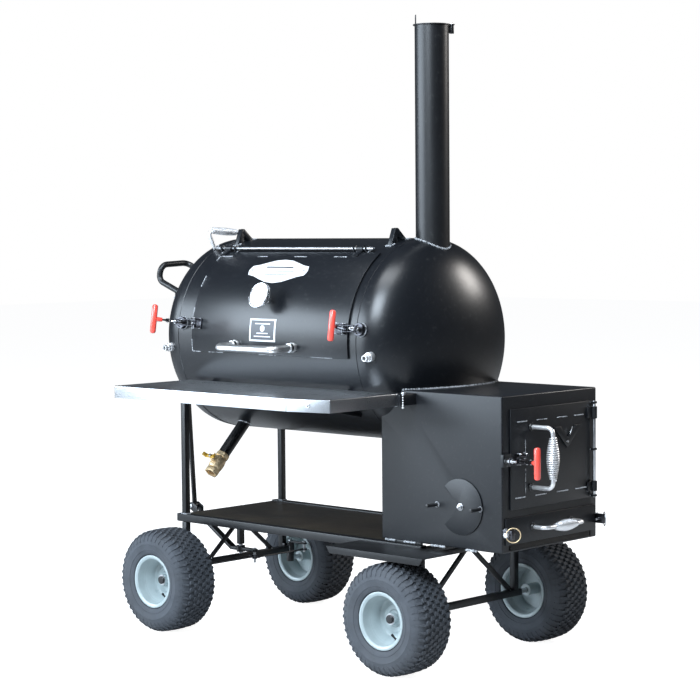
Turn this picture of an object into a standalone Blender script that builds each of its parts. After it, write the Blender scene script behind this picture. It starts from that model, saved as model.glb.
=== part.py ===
"""Offset smoker: a welded cooking tank with a hinged lid, a firebox on its right end, and a steerable
chassis.

Metres, +Z up. Shapes are laid out in the tank's frame: x = 0 halfway along the tank, y = 0 on its axis
with the cook's side at -Y, z = 0 on the ground. The root empty then moves everything so that the origin
is the middle of the footprint.
"""

from math import cos, pi, radians, sin, sqrt

import bmesh
import bpy
from mathutils import Matrix, Vector

# ---------------------------------------------------------------- driving dimensions
GAP = 0.0004  # play between pieces that touch

TANK_RADIUS = 0.381
TANK_WALL = 0.006
TANK_Z = 1.170
HEAD_START = 0.493  # where the straight cylinder ends, each side of the middle
HEAD_DEPTH = 0.200
JOINT_LEFT = -0.481  # girth welds
JOINT_RIGHT = 0.477
TANK_SIDES = 32
HEAD_STEPS = 5

LID_LEFT, LID_RIGHT = -0.393, 0.4425
LID_LOW, LID_HIGH = -8.1, 58.0  # degrees above the front of the tank
LID_INNER = TANK_RADIUS + 0.0016
LID_OUTER = LID_INNER + 0.006
LID_LAP = 0.020
HINGE_RADIUS = 0.395
HINGE_ANGLE = 60.5
HINGE_ROD = 0.006

STACK_X = 0.518
STACK_RADIUS = 0.0635
STACK_WALL = 0.004
STACK_TOP = 2.335

FIREBOX_LEFT, FIREBOX_RIGHT = 0.500, 1.067
FIREBOX_HALF = 0.272
FIREBOX_BOTTOM, FIREBOX_TOP = 0.4555, 1.0045
FIREBOX_WALL = 0.006
DOOR_FRONT, DOOR_BACK = -0.2313, 0.2255
DOOR_BOTTOM, DOOR_TOP = 0.605, 0.957
DOOR_HINGE_Y = 0.2405
DOOR_HINGE_X = FIREBOX_RIGHT + 0.014
DRAWER_BOTTOM, DRAWER_TOP = 0.4835, 0.5765
DRAWER_HALF = 0.258
LUG_RIGHT, LUG_OUTER = 1.110, 0.272
PIN_X, PIN_Z = 1.0915, 0.525
DAMPER_X, DAMPER_Z = 0.881, 0.605
DAMPER_RADIUS = 0.100

TABLE_LEFT, TABLE_RIGHT = -0.4414, 0.6605
TABLE_FRONT, TABLE_BACK = -0.7434, -0.360
TABLE_TOP = 1.000
TABLE_LIP = 0.046
TABLE_SHEET = 0.002
TABLE_CORNER_X, TABLE_CORNER_Y = 0.1765, 0.0390

RAIL_LEFT, RAIL_RIGHT = -0.6136, 0.700
RAIL_OUTER = 0.2835
RAIL_WIDE = 0.032
RAIL_TOP = 0.4475
RAIL_BOTTOM = RAIL_TOP - RAIL_WIDE
LEG_X, LEG_Y, LEG_WIDE = -0.570, 0.271, 0.025

WHEEL_RADIUS = 0.203
FRONT_AXLE_X, REAR_AXLE_X = -0.5396, 0.6848
WHEEL_Y = 0.3994
TYRE_HALF = 0.095
AXLE_RADIUS = 0.0095
KINGPIN_Y = 0.2875
STEER_LENGTH = 0.0826
TONGUE_X, TONGUE_Z = -0.818, 0.430

DRAIN_X = -0.353
CLAMP_HEIGHT = 8.1  # degrees above the front of the tank
CLAMP_REACH = 0.060
GRIP_HEIGHT, GRIP_RADIUS = 0.146, 0.0115  # of a clamp's T handle, above the face it stands on

RED = (0.78, 0.06, 0.05)
BLACK = (0.012, 0.013, 0.015)


# ---------------------------------------------------------------- scene and materials
def clear_scene():
    for obj in list(bpy.data.objects):
        bpy.data.objects.remove(obj, do_unlink=True)


def material(name, colour, roughness, metallic=0.0):
    made = bpy.data.materials.new(name)
    made.use_nodes = True
    shader = made.node_tree.nodes["Principled BSDF"]
    shader.inputs["Base Color"].default_value = (*colour, 1.0)
    shader.inputs["Roughness"].default_value = roughness
    shader.inputs["Metallic"].default_value = metallic
    made.diffuse_color = (*colour, 1.0)
    return made


def empty(name, place, parent=None):
    """A pivot. Its place is given in the tank's frame."""
    pivot = bpy.data.objects.new(name, None)
    bpy.context.scene.collection.objects.link(pivot)
    pivot.parent = parent
    pivot["place"] = tuple(place)
    pivot.location = Vector(place) - Vector(parent["place"]) if parent else Vector(place)
    return pivot


# ---------------------------------------------------------------- shapes, all in the tank's frame
def shape(bm):
    """Turns a bmesh into an object that is not yet a part."""
    bm.normal_update()
    bmesh.ops.recalc_face_normals(bm, faces=bm.faces)
    mesh = bpy.data.meshes.new("shape")
    bm.to_mesh(mesh)
    bm.free()
    obj = bpy.data.objects.new("shape", mesh)
    bpy.context.scene.collection.objects.link(obj)
    return obj


def box(x0, x1, y0, y1, z0, z1):
    bm = bmesh.new()
    bmesh.ops.create_cube(bm, size=1.0)
    bmesh.ops.scale(bm, vec=(x1 - x0, y1 - y0, z1 - z0), verts=bm.verts)
    bmesh.ops.translate(bm, vec=((x0 + x1) / 2, (y0 + y1) / 2, (z0 + z1) / 2), verts=bm.verts)
    return shape(bm)


def facing(direction):
    """A turn that takes +Z to the direction, with no roll about it for the world's axes."""
    return Vector((0, 0, 1)).rotation_difference(Vector(direction)).to_matrix().to_4x4()


def rod(start, end, radius, sides=10):
    start, end = Vector(start), Vector(end)
    bm = bmesh.new()
    bmesh.ops.create_cone(
        bm,
        cap_ends=True,
        segments=sides,
        radius1=radius,
        radius2=radius,
        depth=(end - start).length,
    )
    bm.transform(Matrix.Translation((start + end) / 2) @ facing(end - start))
    return shape(bm)


def bar(start, end, wide, deep, side=(0, 1, 0)):
    """A straight rectangular bar: wide along the side direction, deep across it."""
    start, end = Vector(start), Vector(end)
    along = (end - start).normalized()
    side = (Vector(side) - Vector(side).dot(along) * along).normalized()
    other = along.cross(side)
    bm = bmesh.new()
    bmesh.ops.create_cube(bm, size=1.0)
    bmesh.ops.scale(bm, vec=(wide, deep, (end - start).length), verts=bm.verts)
    turn = Matrix((side, other, along)).transposed().to_4x4()
    bm.transform(Matrix.Translation((start + end) / 2) @ turn)
    return shape(bm)


def prism(outline, low, high, axis="Z"):
    """Extrudes a closed outline. The outline's pairs are (y, z) for X, (x, z) for Y and (x, y) for Z."""
    place = {
        "X": lambda a, b: (low, a, b),
        "Y": lambda a, b: (a, low, b),
        "Z": lambda a, b: (a, b, low),
    }[axis]
    step = {"X": (high - low, 0, 0), "Y": (0, high - low, 0), "Z": (0, 0, high - low)}[axis]
    bm = bmesh.new()
    face = bm.faces.new([bm.verts.new(place(a, b)) for a, b in outline])
    grown = bmesh.ops.extrude_face_region(bm, geom=[face])["geom"]
    bmesh.ops.translate(bm, vec=step, verts=[v for v in grown if isinstance(v, bmesh.types.BMVert)])
    return shape(bm)


def lathe(profile, origin=(0, 0, 0), axis=(0, 0, 1), sides=24, closed=True, turn=0.0):
    """Turns a profile of (radius, height) pairs about the axis, starting at an angle about it."""
    bm = bmesh.new()
    verts = [bm.verts.new((radius * cos(turn), radius * sin(turn), height)) for radius, height in profile]
    edges = [bm.edges.new(pair) for pair in zip(verts, verts[1:])]
    if closed:
        edges.append(bm.edges.new((verts[-1], verts[0])))
    bmesh.ops.spin(
        bm, geom=verts + edges, cent=(0, 0, 0), axis=(0, 0, 1), angle=2 * pi, steps=sides, use_merge=True
    )
    bmesh.ops.remove_doubles(bm, verts=bm.verts, dist=1e-6)
    bm.transform(Matrix.Translation(origin) @ facing(axis))
    return shape(bm)


def arc(centre, radius, start, end, steps):
    """Points on an arc, with angles in degrees."""
    angles = [radians(start + (end - start) * i / steps) for i in range(steps + 1)]
    return [(centre[0] + radius * cos(a), centre[1] + radius * sin(a)) for a in angles]


def rounded(points, bend, steps=3):
    """A path whose corners are replaced by arcs of the bend radius."""
    points = [Vector(p) for p in points]
    path = [points[0]]
    for before, corner, after in zip(points, points[1:], points[2:]):
        back, ahead = (before - corner).normalized(), (after - corner).normalized()
        half = back.angle(ahead) / 2
        reach = bend * cos(half) / sin(half)
        centre = corner + (back + ahead).normalized() * bend / sin(half)
        first, last = corner + back * reach - centre, corner + ahead * reach - centre
        turn = first.angle(last)
        for i in range(steps + 1):
            share = i / steps
            path.append(centre + (first * sin((1 - share) * turn) + last * sin(share * turn)) / sin(turn))
    return path + [points[-1]]


def bent_rod(points, radius, bend, sides=10, steps=3):
    """A round bar swept along a path with rounded corners."""
    path = rounded(points, bend, steps)
    bm = bmesh.new()
    across = (path[1] - path[0]).normalized().orthogonal().normalized()
    rings = []
    for i, place in enumerate(path):
        ahead = (path[min(i + 1, len(path) - 1)] - path[max(i - 1, 0)]).normalized()
        across = (across - across.dot(ahead) * ahead).normalized()
        other = ahead.cross(across)
        spokes = [2 * pi * k / sides for k in range(sides)]
        rings.append([bm.verts.new(place + radius * (cos(a) * across + sin(a) * other)) for a in spokes])
    for one, two in zip(rings, rings[1:]):
        for k in range(sides):
            bm.faces.new((one[k], one[k - 1], two[k - 1], two[k]))
    bm.faces.new(rings[0])
    bm.faces.new(reversed(rings[-1]))
    return shape(bm)


def moved(obj, turn):
    obj.data.transform(turn)
    return obj


# ---------------------------------------------------------------- turning shapes into parts
def boolean(part, tools, operation):
    for tool in tools:
        cut = part.modifiers.new(operation.title(), "BOOLEAN")
        cut.operation = operation
        cut.solver = "EXACT"
        cut.object = tool
        tool.name = "helper"
        tool.parent = part.parent
        tool.matrix_parent_inverse = part.matrix_parent_inverse
        tool.hide_render = True
        tool.display_type = "WIRE"


def part(name, shapes, finish, pivot=None, minus=()):
    """Makes one named part from shapes that are united, less the shapes in minus."""
    pivot = pivot or ROOT
    body = shapes[0]
    body.name = body.data.name = name
    body.data.materials.append(finish)
    body.parent = pivot
    body.matrix_parent_inverse = Matrix.Translation(-Vector(pivot["place"]))
    boolean(body, shapes[1:], "UNION")
    boolean(body, minus, "DIFFERENCE")
    body.data.shade_smooth()
    body.data.set_sharp_from_angle(angle=radians(35))
    return body


# ---------------------------------------------------------------- places on the tank
def on_tank(radius, degrees):
    """(y, z) at a radius and an angle above the front of the tank."""
    angle = radians(degrees)
    return -radius * cos(angle), TANK_Z + radius * sin(angle)


def head_profile(grow, side):
    """Points of the elliptical head from its rim to its tip, grown outwards, as (radius, x)."""
    return [(r, side * x) for x, r in arc_ellipse(HEAD_DEPTH + grow, TANK_RADIUS + grow)]


def arc_ellipse(depth, radius):
    turns = [pi / 2 * i / HEAD_STEPS for i in range(HEAD_STEPS + 1)]
    points = [(HEAD_START + depth * sin(a), radius * cos(a)) for a in turns]
    return points[:-1] + [(points[-1][0], 0.0)]


def tank_envelope(grow=GAP):
    """The whole outside of the tank as one solid, to trim what is welded to it."""
    left = head_profile(grow, -1)
    right = head_profile(grow, 1)
    return lathe(left[::-1] + right, (0, 0, TANK_Z), (1, 0, 0), TANK_SIDES, closed=False)


def surface_frame(x, degrees, along):
    """A frame standing on the lid: its X runs along, its Z points out of the surface."""
    y, z = on_tank(LID_OUTER + GAP, degrees)
    angle = radians(degrees)
    out = Vector((0, -cos(angle), sin(angle)))
    along = Vector(along)
    side = out.cross(along)
    return Matrix.Translation((x, y, z)) @ Matrix((along, side, out)).transposed().to_4x4()


# ---------------------------------------------------------------- cooking chamber
def arc_block(inner, outer, low, high, x0, x1, steps):
    """A curved slab round the tank's axis."""
    outside = [on_tank(outer, low + (high - low) * i / steps) for i in range(steps + 1)]
    inside = [on_tank(inner, high + (low - high) * i / steps) for i in range(steps + 1)]
    return prism(outside + inside, x0, x1, "X")


def stack_bore():
    return rod((STACK_X, 0, 1.30), (STACK_X, 0, 1.62), STACK_RADIUS - STACK_WALL, 24)


def drain_points():
    """The drain pipe's two ends: inside the tank's wall, and at the valve."""
    lower = Vector((DRAIN_X, -0.264, 0.7035))
    return lower + Vector((0, 0.17, 0.17)), lower


def strike_disc(x):
    """A raised ring on the tank that the clamp's tip presses on."""
    base = surface_frame(x, CLAMP_HEIGHT, (1, 0, 0))
    ring, floor = 0.0095, 0.0055
    profile = [(0, -0.012), (0.0240, -0.012), (0.0240, ring), (0.0160, ring), (0.0160, floor), (0, floor)]
    return moved(lathe(profile, sides=20, closed=False), base)


def build_tank(black):
    barrel = lathe(
        [
            (TANK_RADIUS, JOINT_RIGHT - GAP),
            (TANK_RADIUS, JOINT_LEFT + GAP),
            (TANK_RADIUS - TANK_WALL, JOINT_LEFT + GAP),
            (TANK_RADIUS - TANK_WALL, JOINT_RIGHT - GAP),
        ],
        (0, 0, TANK_Z),
        (1, 0, 0),
        TANK_SIDES,
    )
    opening = arc_block(0.33, 0.43, LID_LOW + 3.1, LID_HIGH - 2.5, LID_LEFT + LID_LAP, LID_RIGHT - LID_LAP, 9)
    middles = (-0.3275, 0.3275)
    ledges = [box(-0.44, 0.44, y - 0.0155, y + 0.0155, 1.008, 1.014) for y in middles]
    upper, lower = drain_points()
    part(
        "tank_barrel",
        [barrel, strike_disc(LID_LEFT - CLAMP_REACH), *ledges, *table_braces()],
        black,
        minus=[opening, stack_bore(), rod(upper, lower, 0.0195, 14)],
    )
    for name, side, joint in (("tank_head_left", -1, JOINT_LEFT), ("tank_head_right", 1, JOINT_RIGHT)):
        outer = head_profile(0.0, side)
        inner = head_profile(-TANK_WALL, side)
        rim = [(TANK_RADIUS - TANK_WALL, joint), (TANK_RADIUS, joint)]
        shell = lathe(rim + outer + inner[::-1], (0, 0, TANK_Z), (1, 0, 0), TANK_SIDES, closed=True)
        shapes, cuts = [shell], []
        if side > 0:
            shapes.append(strike_disc(LID_RIGHT + CLAMP_REACH))
            cuts = [stack_bore(), box(0.515, 0.74, -0.15, 0.15, 0.85, 0.985)]
        part(name, shapes, black, minus=cuts)


def build_stack(black):
    pipe = lathe(
        [
            (STACK_RADIUS, 1.36),
            (STACK_RADIUS, STACK_TOP),
            (STACK_RADIUS - STACK_WALL, STACK_TOP),
            (STACK_RADIUS - STACK_WALL, 1.36),
        ],
        (STACK_X, 0, 0),
        sides=24,
    )
    right = Vector((0.726, 0.688, 0.0))
    centre = Vector((STACK_X, 0, 0))
    pivot = centre + right * (STACK_RADIUS + 0.010)
    lug = rod(pivot + Vector((0, 0, STACK_TOP - 0.030)), pivot + Vector((0, 0, STACK_TOP)), 0.0090, 12)
    pin = rod(pivot + Vector((0, 0, STACK_TOP - 0.02)), pivot + Vector((0, 0, STACK_TOP + 0.010)), 0.0040, 10)
    web = bar(
        centre + right * (STACK_RADIUS - 0.002) + Vector((0, 0, STACK_TOP - 0.015)),
        pivot + Vector((0, 0, STACK_TOP - 0.015)),
        0.012,
        0.024,
        (0.688, -0.726, 0),
    )
    part("stack_pipe", [pipe, web, lug, pin], black, minus=[tank_envelope()])
    swivel = empty("stack_cap_pivot", (pivot.x, pivot.y, STACK_TOP), ROOT)
    low, high = STACK_TOP + GAP, STACK_TOP + GAP + 0.004
    disc = rod(centre + Vector((0, 0, low)), centre + Vector((0, 0, high)), STACK_RADIUS + 0.006, 28)
    ear = rod(pivot + Vector((0, 0, low + 0.0005)), pivot + Vector((0, 0, high - 0.0005)), 0.0120, 16)
    tab_foot = centre - right * (STACK_RADIUS - 0.004) + Vector((0, 0, high - 0.001))
    tab = bar(tab_foot, tab_foot + Vector((0, 0, 0.036)), 0.026, 0.004, (0.688, -0.726, 0))
    hole = rod(pivot + Vector((0, 0, low - 0.01)), pivot + Vector((0, 0, high + 0.01)), 0.0048, 12)
    part("stack_cap", [disc, ear, tab], black, swivel, minus=[hole])


def build_grates(steel):
    inside = [box(-0.43, 0.43, y - 0.004, y + 0.004, 1.0145, 1.0225) for y in (-0.329, -0.11, 0.11, 0.329)]
    places = steps_between(-0.427, 0.427, 9)
    cross = [box(x - 0.003, x + 0.003, -0.332, 0.332, 1.0155, 1.0215) for x in places]
    part("cooking_grate", inside + cross, steel)
    part("heat_deflector", [box(-0.40, 0.46, -0.2565, 0.2565, 0.900, 0.903)], steel)
    rails = [box(0.535, 1.045, y - 0.006, y + 0.006, 0.600, 0.612) for y in steps_between(-0.245, 0.245, 8)]
    ends = [box(x - 0.006, x + 0.006, -0.253, 0.253, 0.5995, 0.6105) for x in (0.560, 1.020)]
    part("fire_grate", rails + ends, steel)


def steps_between(low, high, count):
    return [low + (high - low) * i / (count - 1) for i in range(count)]


def build_drain(black, brass, yellow):
    upper, lower = drain_points()
    along = (lower - upper).normalized()
    out = Vector((0, -sin(pi / 4), sin(pi / 4)))
    pipe = rod(upper, lower, 0.0235, 16)
    bore = rod(upper - along * 0.01, lower + along * 0.01, 0.0195, 14)
    part("drain_pipe", [pipe], black, minus=[bore, tank_envelope()])
    start = lower + along * GAP
    body = lathe(
        [
            (0.0195, 0),
            (0.0290, 0),
            (0.0290, 0.024),
            (0.0265, 0.030),
            (0.0285, 0.050),
            (0.0265, 0.070),
            (0.0265, 0.098),
            (0.0195, 0.098),
            (0.0195, 0.078),
            (0.0260 - 0.006, 0.066),
            (0.0260 - 0.006, 0.034),
        ],
        start,
        along,
        16,
    )
    middle = start + along * 0.050
    stem_socket = rod(middle + out * 0.0225, middle + out * 0.040, 0.0095, 12)
    part(
        "drain_valve_body",
        [body, stem_socket],
        brass,
        minus=[rod(middle - out * 0.001, middle + out * 0.05, 0.0055, 12)],
    )
    turn = empty("drain_valve_pivot", middle, ROOT)
    stem = rod(middle + out * 0.012, middle + out * 0.052, 0.0045, 12)
    span = Vector((0.033, 0, 0))
    across = out.cross((1, 0, 0))
    grip = bar(middle + out * 0.049 - span, middle + out * 0.049 + span, 0.016, 0.003, across)
    wings = []
    for side in (-1, 1):
        root = middle + out * 0.0485 + side * 0.6 * span
        wings.append(bar(root, middle + out * 0.064 + side * span, 0.015, 0.003, across))
    ball = rod(middle - out * 0.0130, middle + out * 0.0130, 0.0130, 12)
    bore = rod(middle - along * 0.03, middle + along * 0.03, 0.0085, 10)
    part("drain_valve_lever", [stem, grip, *wings, ball], yellow, turn, minus=[bore])


def build_lid(black, stainless, chrome):
    y, z = on_tank(HINGE_RADIUS, HINGE_ANGLE)
    start, end = Vector((-0.455, y, z)), Vector((0.400, y, z))
    tabs = []
    for x in (-0.4175, -0.341, 0.303, 0.3645):
        corners = [(0.372, -2.4), (0.4035, -1.4), (0.4035, 1.4), (0.372, 2.4)]
        outline = [on_tank(radius, HINGE_ANGLE + turn) for radius, turn in corners]
        tabs.append(prism(outline, x - 0.0025, x + 0.0025, "X"))
    part("lid_hinge_rod", [rod(start, end, HINGE_ROD, 12), *tabs], black, minus=[tank_envelope()])

    pivot = empty("lid_pivot", (0, y, z), ROOT)
    panel = arc_block(LID_INNER, LID_OUTER, LID_LOW, LID_HIGH, LID_LEFT, LID_RIGHT, 14)
    shapes = [panel]
    bores = []
    for x in (-0.379, 0.334):
        shapes.append(rod((x - 0.016, y, z), (x + 0.016, y, z), 0.0115, 14))
        strap = (LID_OUTER - 0.002, LID_OUTER + 0.006, LID_HIGH - 3.0, HINGE_ANGLE - 0.6)
        shapes.append(arc_block(*strap, x - 0.014, x + 0.014, 2))
        bores.append(rod((x - 0.03, y, z), (x + 0.03, y, z), HINGE_ROD + 0.0008, 14))
    part("lid_panel", shapes, black, pivot, minus=bores)

    angle = -3.0
    handle_frame = surface_frame(0.014, angle, (1, 0, 0))
    half, out = 0.154, 0.110
    grip = bent_rod([(-half, 0, 0), (-half, 0, out), (half, 0, out), (half, 0, 0)], 0.014, 0.035, 12, 4)
    ferrules = [rod((side * half, 0, 0), (side * half, 0, 0.012), 0.019, 14) for side in (-1, 1)]
    part("lid_handle", [moved(s, handle_frame) for s in [grip, *ferrules]], stainless, pivot)

    gauge_frame = surface_frame(0.015, 22.5, (1, 0, 0))
    dial = [(0, 0.048), (0.046, 0.048), (0.050, 0.052), (0.050, 0.062), (0.047, 0.065), (0, 0.063)]
    socket = rod((0, 0, 0), (0, 0, 0.014), 0.0120, 6)
    stem = rod((0, 0, 0.004), (0, 0, 0.050), 0.0065, 10)
    gauge = [lathe(dial, sides=24, closed=False), stem, socket]
    part("thermometer", [moved(s, gauge_frame) for s in gauge], chrome, pivot)
    return pivot


# ---------------------------------------------------------------- toggle clamps
def build_clamp(name, frame, steel, red, parent):
    """A vertical hold-down clamp. In its own frame +X runs to the strike pad and +Z out of the surface."""
    lever_x, lever_z = -0.014, 0.012
    arm_x, arm_z = -0.036, 0.024

    def put(shapes):
        return [moved(s, frame) for s in shapes]

    cheeks = []
    for side in (-1, 1):
        outline = [(-0.048, 0.002), (-0.006, 0.002), (-0.006, 0.040), (-0.018, 0.045), (-0.046, 0.030)]
        cheeks.append(prism(outline, side * 0.0165 - 0.0015, side * 0.0165 + 0.0015, "Y"))
    foot = box(-0.054, -0.0042, -0.021, 0.021, 0, 0.004)
    pins = [rod((lever_x, -0.0175, lever_z), (lever_x, 0.0175, lever_z), 0.0030, 8)]
    for side in (-1, 1):
        pins.append(rod((arm_x, side * 0.0095, arm_z), (arm_x, side * 0.0175, arm_z), 0.0030, 8))
    part(f"{name}_base", put([foot, *cheeks, *pins]), steel, parent)

    arm_pivot = empty(f"{name}_arm_pivot", frame @ Vector((arm_x, 0, arm_z)), parent)
    cheeks = []
    for side in (-1, 1):
        y = side * 0.0112
        cheeks.append(bar((arm_x, y, arm_z), (0.046, y, 0.0345), 0.009, 0.003, (0, 0, 1)))
        low, high = y - 0.0014, y + 0.0014
        cheeks.append(rod((arm_x, low, arm_z), (arm_x, high, arm_z), 0.0065, 8))
    nose = box(0.043, CLAMP_REACH + 0.009, -0.0120, 0.0120, 0.0290, 0.0395)
    spindle = rod((CLAMP_REACH, 0, 0.0125), (CLAMP_REACH, 0, 0.0540), 0.0045, 8)
    tip = rod((CLAMP_REACH, 0, 0.0058), (CLAMP_REACH, 0, 0.0145), 0.0090, 8)
    nut = rod((CLAMP_REACH, 0, 0.0390), (CLAMP_REACH, 0, 0.0450), 0.0080, 6)
    bore = rod((arm_x, -0.02, arm_z), (arm_x, 0.02, arm_z), 0.0036, 8)
    part(f"{name}_arm", put([nose, *cheeks, spindle, tip, nut]), steel, arm_pivot, minus=put([bore]))

    lever_pivot = empty(f"{name}_lever_pivot", frame @ Vector((lever_x, 0, lever_z)), parent)
    blade = bar((lever_x, 0, lever_z), (CLAMP_REACH, 0, GRIP_HEIGHT - 0.003), 0.013, 0.006, (0, 0, 1))
    boss = rod((lever_x, -0.0085, lever_z), (lever_x, 0.0085, lever_z), 0.0068, 8)
    grip = rod((CLAMP_REACH, -0.0565, GRIP_HEIGHT), (CLAMP_REACH, 0.0565, GRIP_HEIGHT), GRIP_RADIUS, 8)
    bore = rod((lever_x, -0.02, lever_z), (lever_x, 0.02, lever_z), 0.0036, 8)
    part(f"{name}_lever", put([grip, blade, boss]), red, lever_pivot, minus=put([bore]))


# ---------------------------------------------------------------- things on the tank
def build_tank_fittings(black, chrome):
    for name, x in (("lid_stop_left", -0.398), ("lid_stop_right", 0.427)):
        low, peak, back = Vector((x, -0.136, 1.505)), Vector((x, -0.108, 1.580)), Vector((x, -0.052, 1.528))
        nub = rod(peak - Vector((0.0115, 0, 0)), peak + Vector((0.0115, 0, 0)), 0.0118, 12)
        legs = [bar(low, peak, 0.022, 0.022, (1, 0, 0)), bar(back, peak, 0.0225, 0.0225, (1, 0, 0))]
        part(name, [*legs, nub], black, minus=[tank_envelope()])
    for name, x in (("probe_port_left", -0.527), ("probe_port_right", 0.541)):
        y, z = on_tank(TANK_RADIUS - 0.014, -6.5)
        lean = Vector((0.10 if x > 0 else -0.10, -cos(radians(6.5)), -sin(radians(6.5)))).normalized()
        foot = Vector((x, y, z))
        hexagon = rod(foot, foot + lean * 0.030, 0.0165, 6)
        cap = rod(foot + lean * 0.028, foot + lean * 0.046, 0.0120, 12)
        part(name, [hexagon, cap], chrome, minus=[tank_envelope()])

    x = -0.499
    path = [(x, -0.152, 1.490), (x, -0.1995, 1.586), (x, -0.030, 1.575), (x, 0.012, 1.535)]
    coil = rod((x, -0.180, 1.5848), (x, -0.046, 1.5762), 0.0155, 14)
    part("grab_handle", [bent_rod(path, 0.0075, 0.014, 10), coil], chrome, minus=[tank_envelope()])

    path = [
        (-0.600, -0.238, 1.326),
        (-0.753, -0.240, 1.385),
        (-0.735, -0.240, 1.447),
        (-0.735, -0.098, 1.453),
        (-0.635, -0.088, 1.395),
    ]
    tube = bent_rod(path, 0.0120, 0.026, 10)
    tab = bar((-0.628, -0.238, 1.335), (-0.628, -0.238, 1.275), 0.030, 0.030, (1, 0, 0))
    part("push_handle", [tube, tab], black, minus=[tank_envelope()])


# ---------------------------------------------------------------- firebox
def build_firebox(black):
    left, right, half = FIREBOX_LEFT, FIREBOX_RIGHT, FIREBOX_HALF
    low, high, wall = FIREBOX_BOTTOM, FIREBOX_TOP, FIREBOX_WALL
    shell = box(left, right, -half, half, low, high)
    hollow = box(left + wall, right - wall, -half + wall, half - wall, low + wall, high - wall)
    door_way = box(right - 0.02, right + 0.02, -0.190, 0.190, 0.640, 0.920)
    drawer_way = box(right - 0.02, right + 0.02, -0.236, 0.236, low + wall + 0.0005, 0.5665)
    sector = [(DAMPER_X, DAMPER_Z - 0.014)] + arc((DAMPER_X, DAMPER_Z), 0.084, -128, -52, 6)
    air_hole = prism(sector, -half - 0.02, -half + 0.02, "Y")
    bolt_hole = rod((DAMPER_X, -half - 0.02, DAMPER_Z), (DAMPER_X, -half + 0.02, DAMPER_Z), 0.0052, 12)
    ledges = [box(0.530, 1.050, y - 0.0115, y + 0.0115, 0.5925, 0.5985) for y in (-0.258, 0.258)]
    skids = []
    for side in (-1, 1):
        middle = side * 0.2655
        skids.append(box(left + 0.02, 0.690, middle - 0.006, middle + 0.006, RAIL_TOP + GAP, low + 0.002))
    keeper = box(right - 0.003, DOOR_FACE + 0.0055, -0.279, DOOR_FRONT - 0.0035, 0.760, 0.804)
    pin = rod((DOOR_HINGE_X, DOOR_HINGE_Y, DOOR_BOTTOM), (DOOR_HINGE_X, DOOR_HINGE_Y, DOOR_TOP), 0.0060, 12)
    tabs = []
    for z in (0.607, 0.777, 0.947):
        back, front = DOOR_HINGE_Y + 0.008, DOOR_HINGE_Y - 0.008
        tabs.append(box(right - 0.003, DOOR_HINGE_X + 0.008, front, back, z, z + 0.008))
    stub = rod((0.769, -half + 0.003, 0.604), (0.769, -half - 0.058, 0.604), 0.0065, 12)
    bracket = box(0.608, TABLE_RIGHT + 0.012, TABLE_BACK + GAP, -half + 0.003, 0.9560, 0.9965)
    part(
        "firebox_shell",
        [shell],
        black,
        minus=[hollow, door_way, drawer_way, air_hole, bolt_hole, tank_envelope()],
    )
    shell.modifiers[-1].name = "Trim to tank"
    boolean(shell, [*ledges, *skids, keeper, pin, *tabs, stub, bracket], "UNION")


DOOR_FACE = FIREBOX_RIGHT + 0.0005 + 0.006


def coil_handle(start, end, out, rod_radius, coil_length, coil_radius):
    """A bent bar standing off a face, with a coil grip round its middle."""
    start, end, out = Vector(start), Vector(end), Vector(out)
    along = (end - start).normalized()
    middle = (start + end) / 2 + out
    half = coil_length / 2
    slim = coil_radius * 0.7
    profile = [(0, -half), (slim, -half), (coil_radius, 0), (slim, half), (0, half)]
    coil = lathe(profile, middle, along, 12, closed=False)
    return [bent_rod([start, start + out, end + out, end], rod_radius, 0.022, 10), coil]


def build_firebox_door(black, chrome):
    pivot = empty("firebox_door_pivot", (DOOR_HINGE_X, DOOR_HINGE_Y, 0.78), ROOT)
    inner = FIREBOX_RIGHT + 0.0005
    plate = box(inner, DOOR_FACE, DOOR_FRONT, DOOR_BACK, DOOR_BOTTOM, DOOR_TOP)
    plug = box(FIREBOX_RIGHT - 0.022, inner + 0.002, -0.184, 0.184, 0.646, 0.914)
    shapes, bores = [plate, plug], []
    for z0, z1 in ((0.628, 0.664), (0.893, 0.936)):
        shapes.append(rod((DOOR_HINGE_X, DOOR_HINGE_Y, z0), (DOOR_HINGE_X, DOOR_HINGE_Y, z1), 0.0110, 14))
        leaf = (DOOR_FACE - 0.002, DOOR_FACE + 0.006, DOOR_BACK - 0.020, DOOR_HINGE_Y - 0.006)
        shapes.append(box(*leaf, z0 + 0.002, z1 - 0.002))
        below, above = (DOOR_HINGE_X, DOOR_HINGE_Y, z0 - 0.01), (DOOR_HINGE_X, DOOR_HINGE_Y, z1 + 0.01)
        bores.append(rod(below, above, 0.0068, 14))
    tip, left_top, right_top = (0.085, 0.799), (0.006, 0.879), (0.172, 0.877)
    outline = [tip, right_top, (0.132, 0.877), (0.087, 0.836), (0.048, 0.877), left_top]
    vee = prism(outline, DOOR_FACE - 0.001, DOOR_FACE + 0.006, "X")
    part("firebox_door", [*shapes, vee], black, pivot, minus=bores)
    foot = DOOR_FACE + GAP
    handle = coil_handle((foot, -0.1177, 0.889), (foot, -0.1177, 0.676), (0.096, 0, 0), 0.0080, 0.150, 0.0240)
    part("firebox_door_handle", handle, chrome, pivot)
    return pivot


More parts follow.
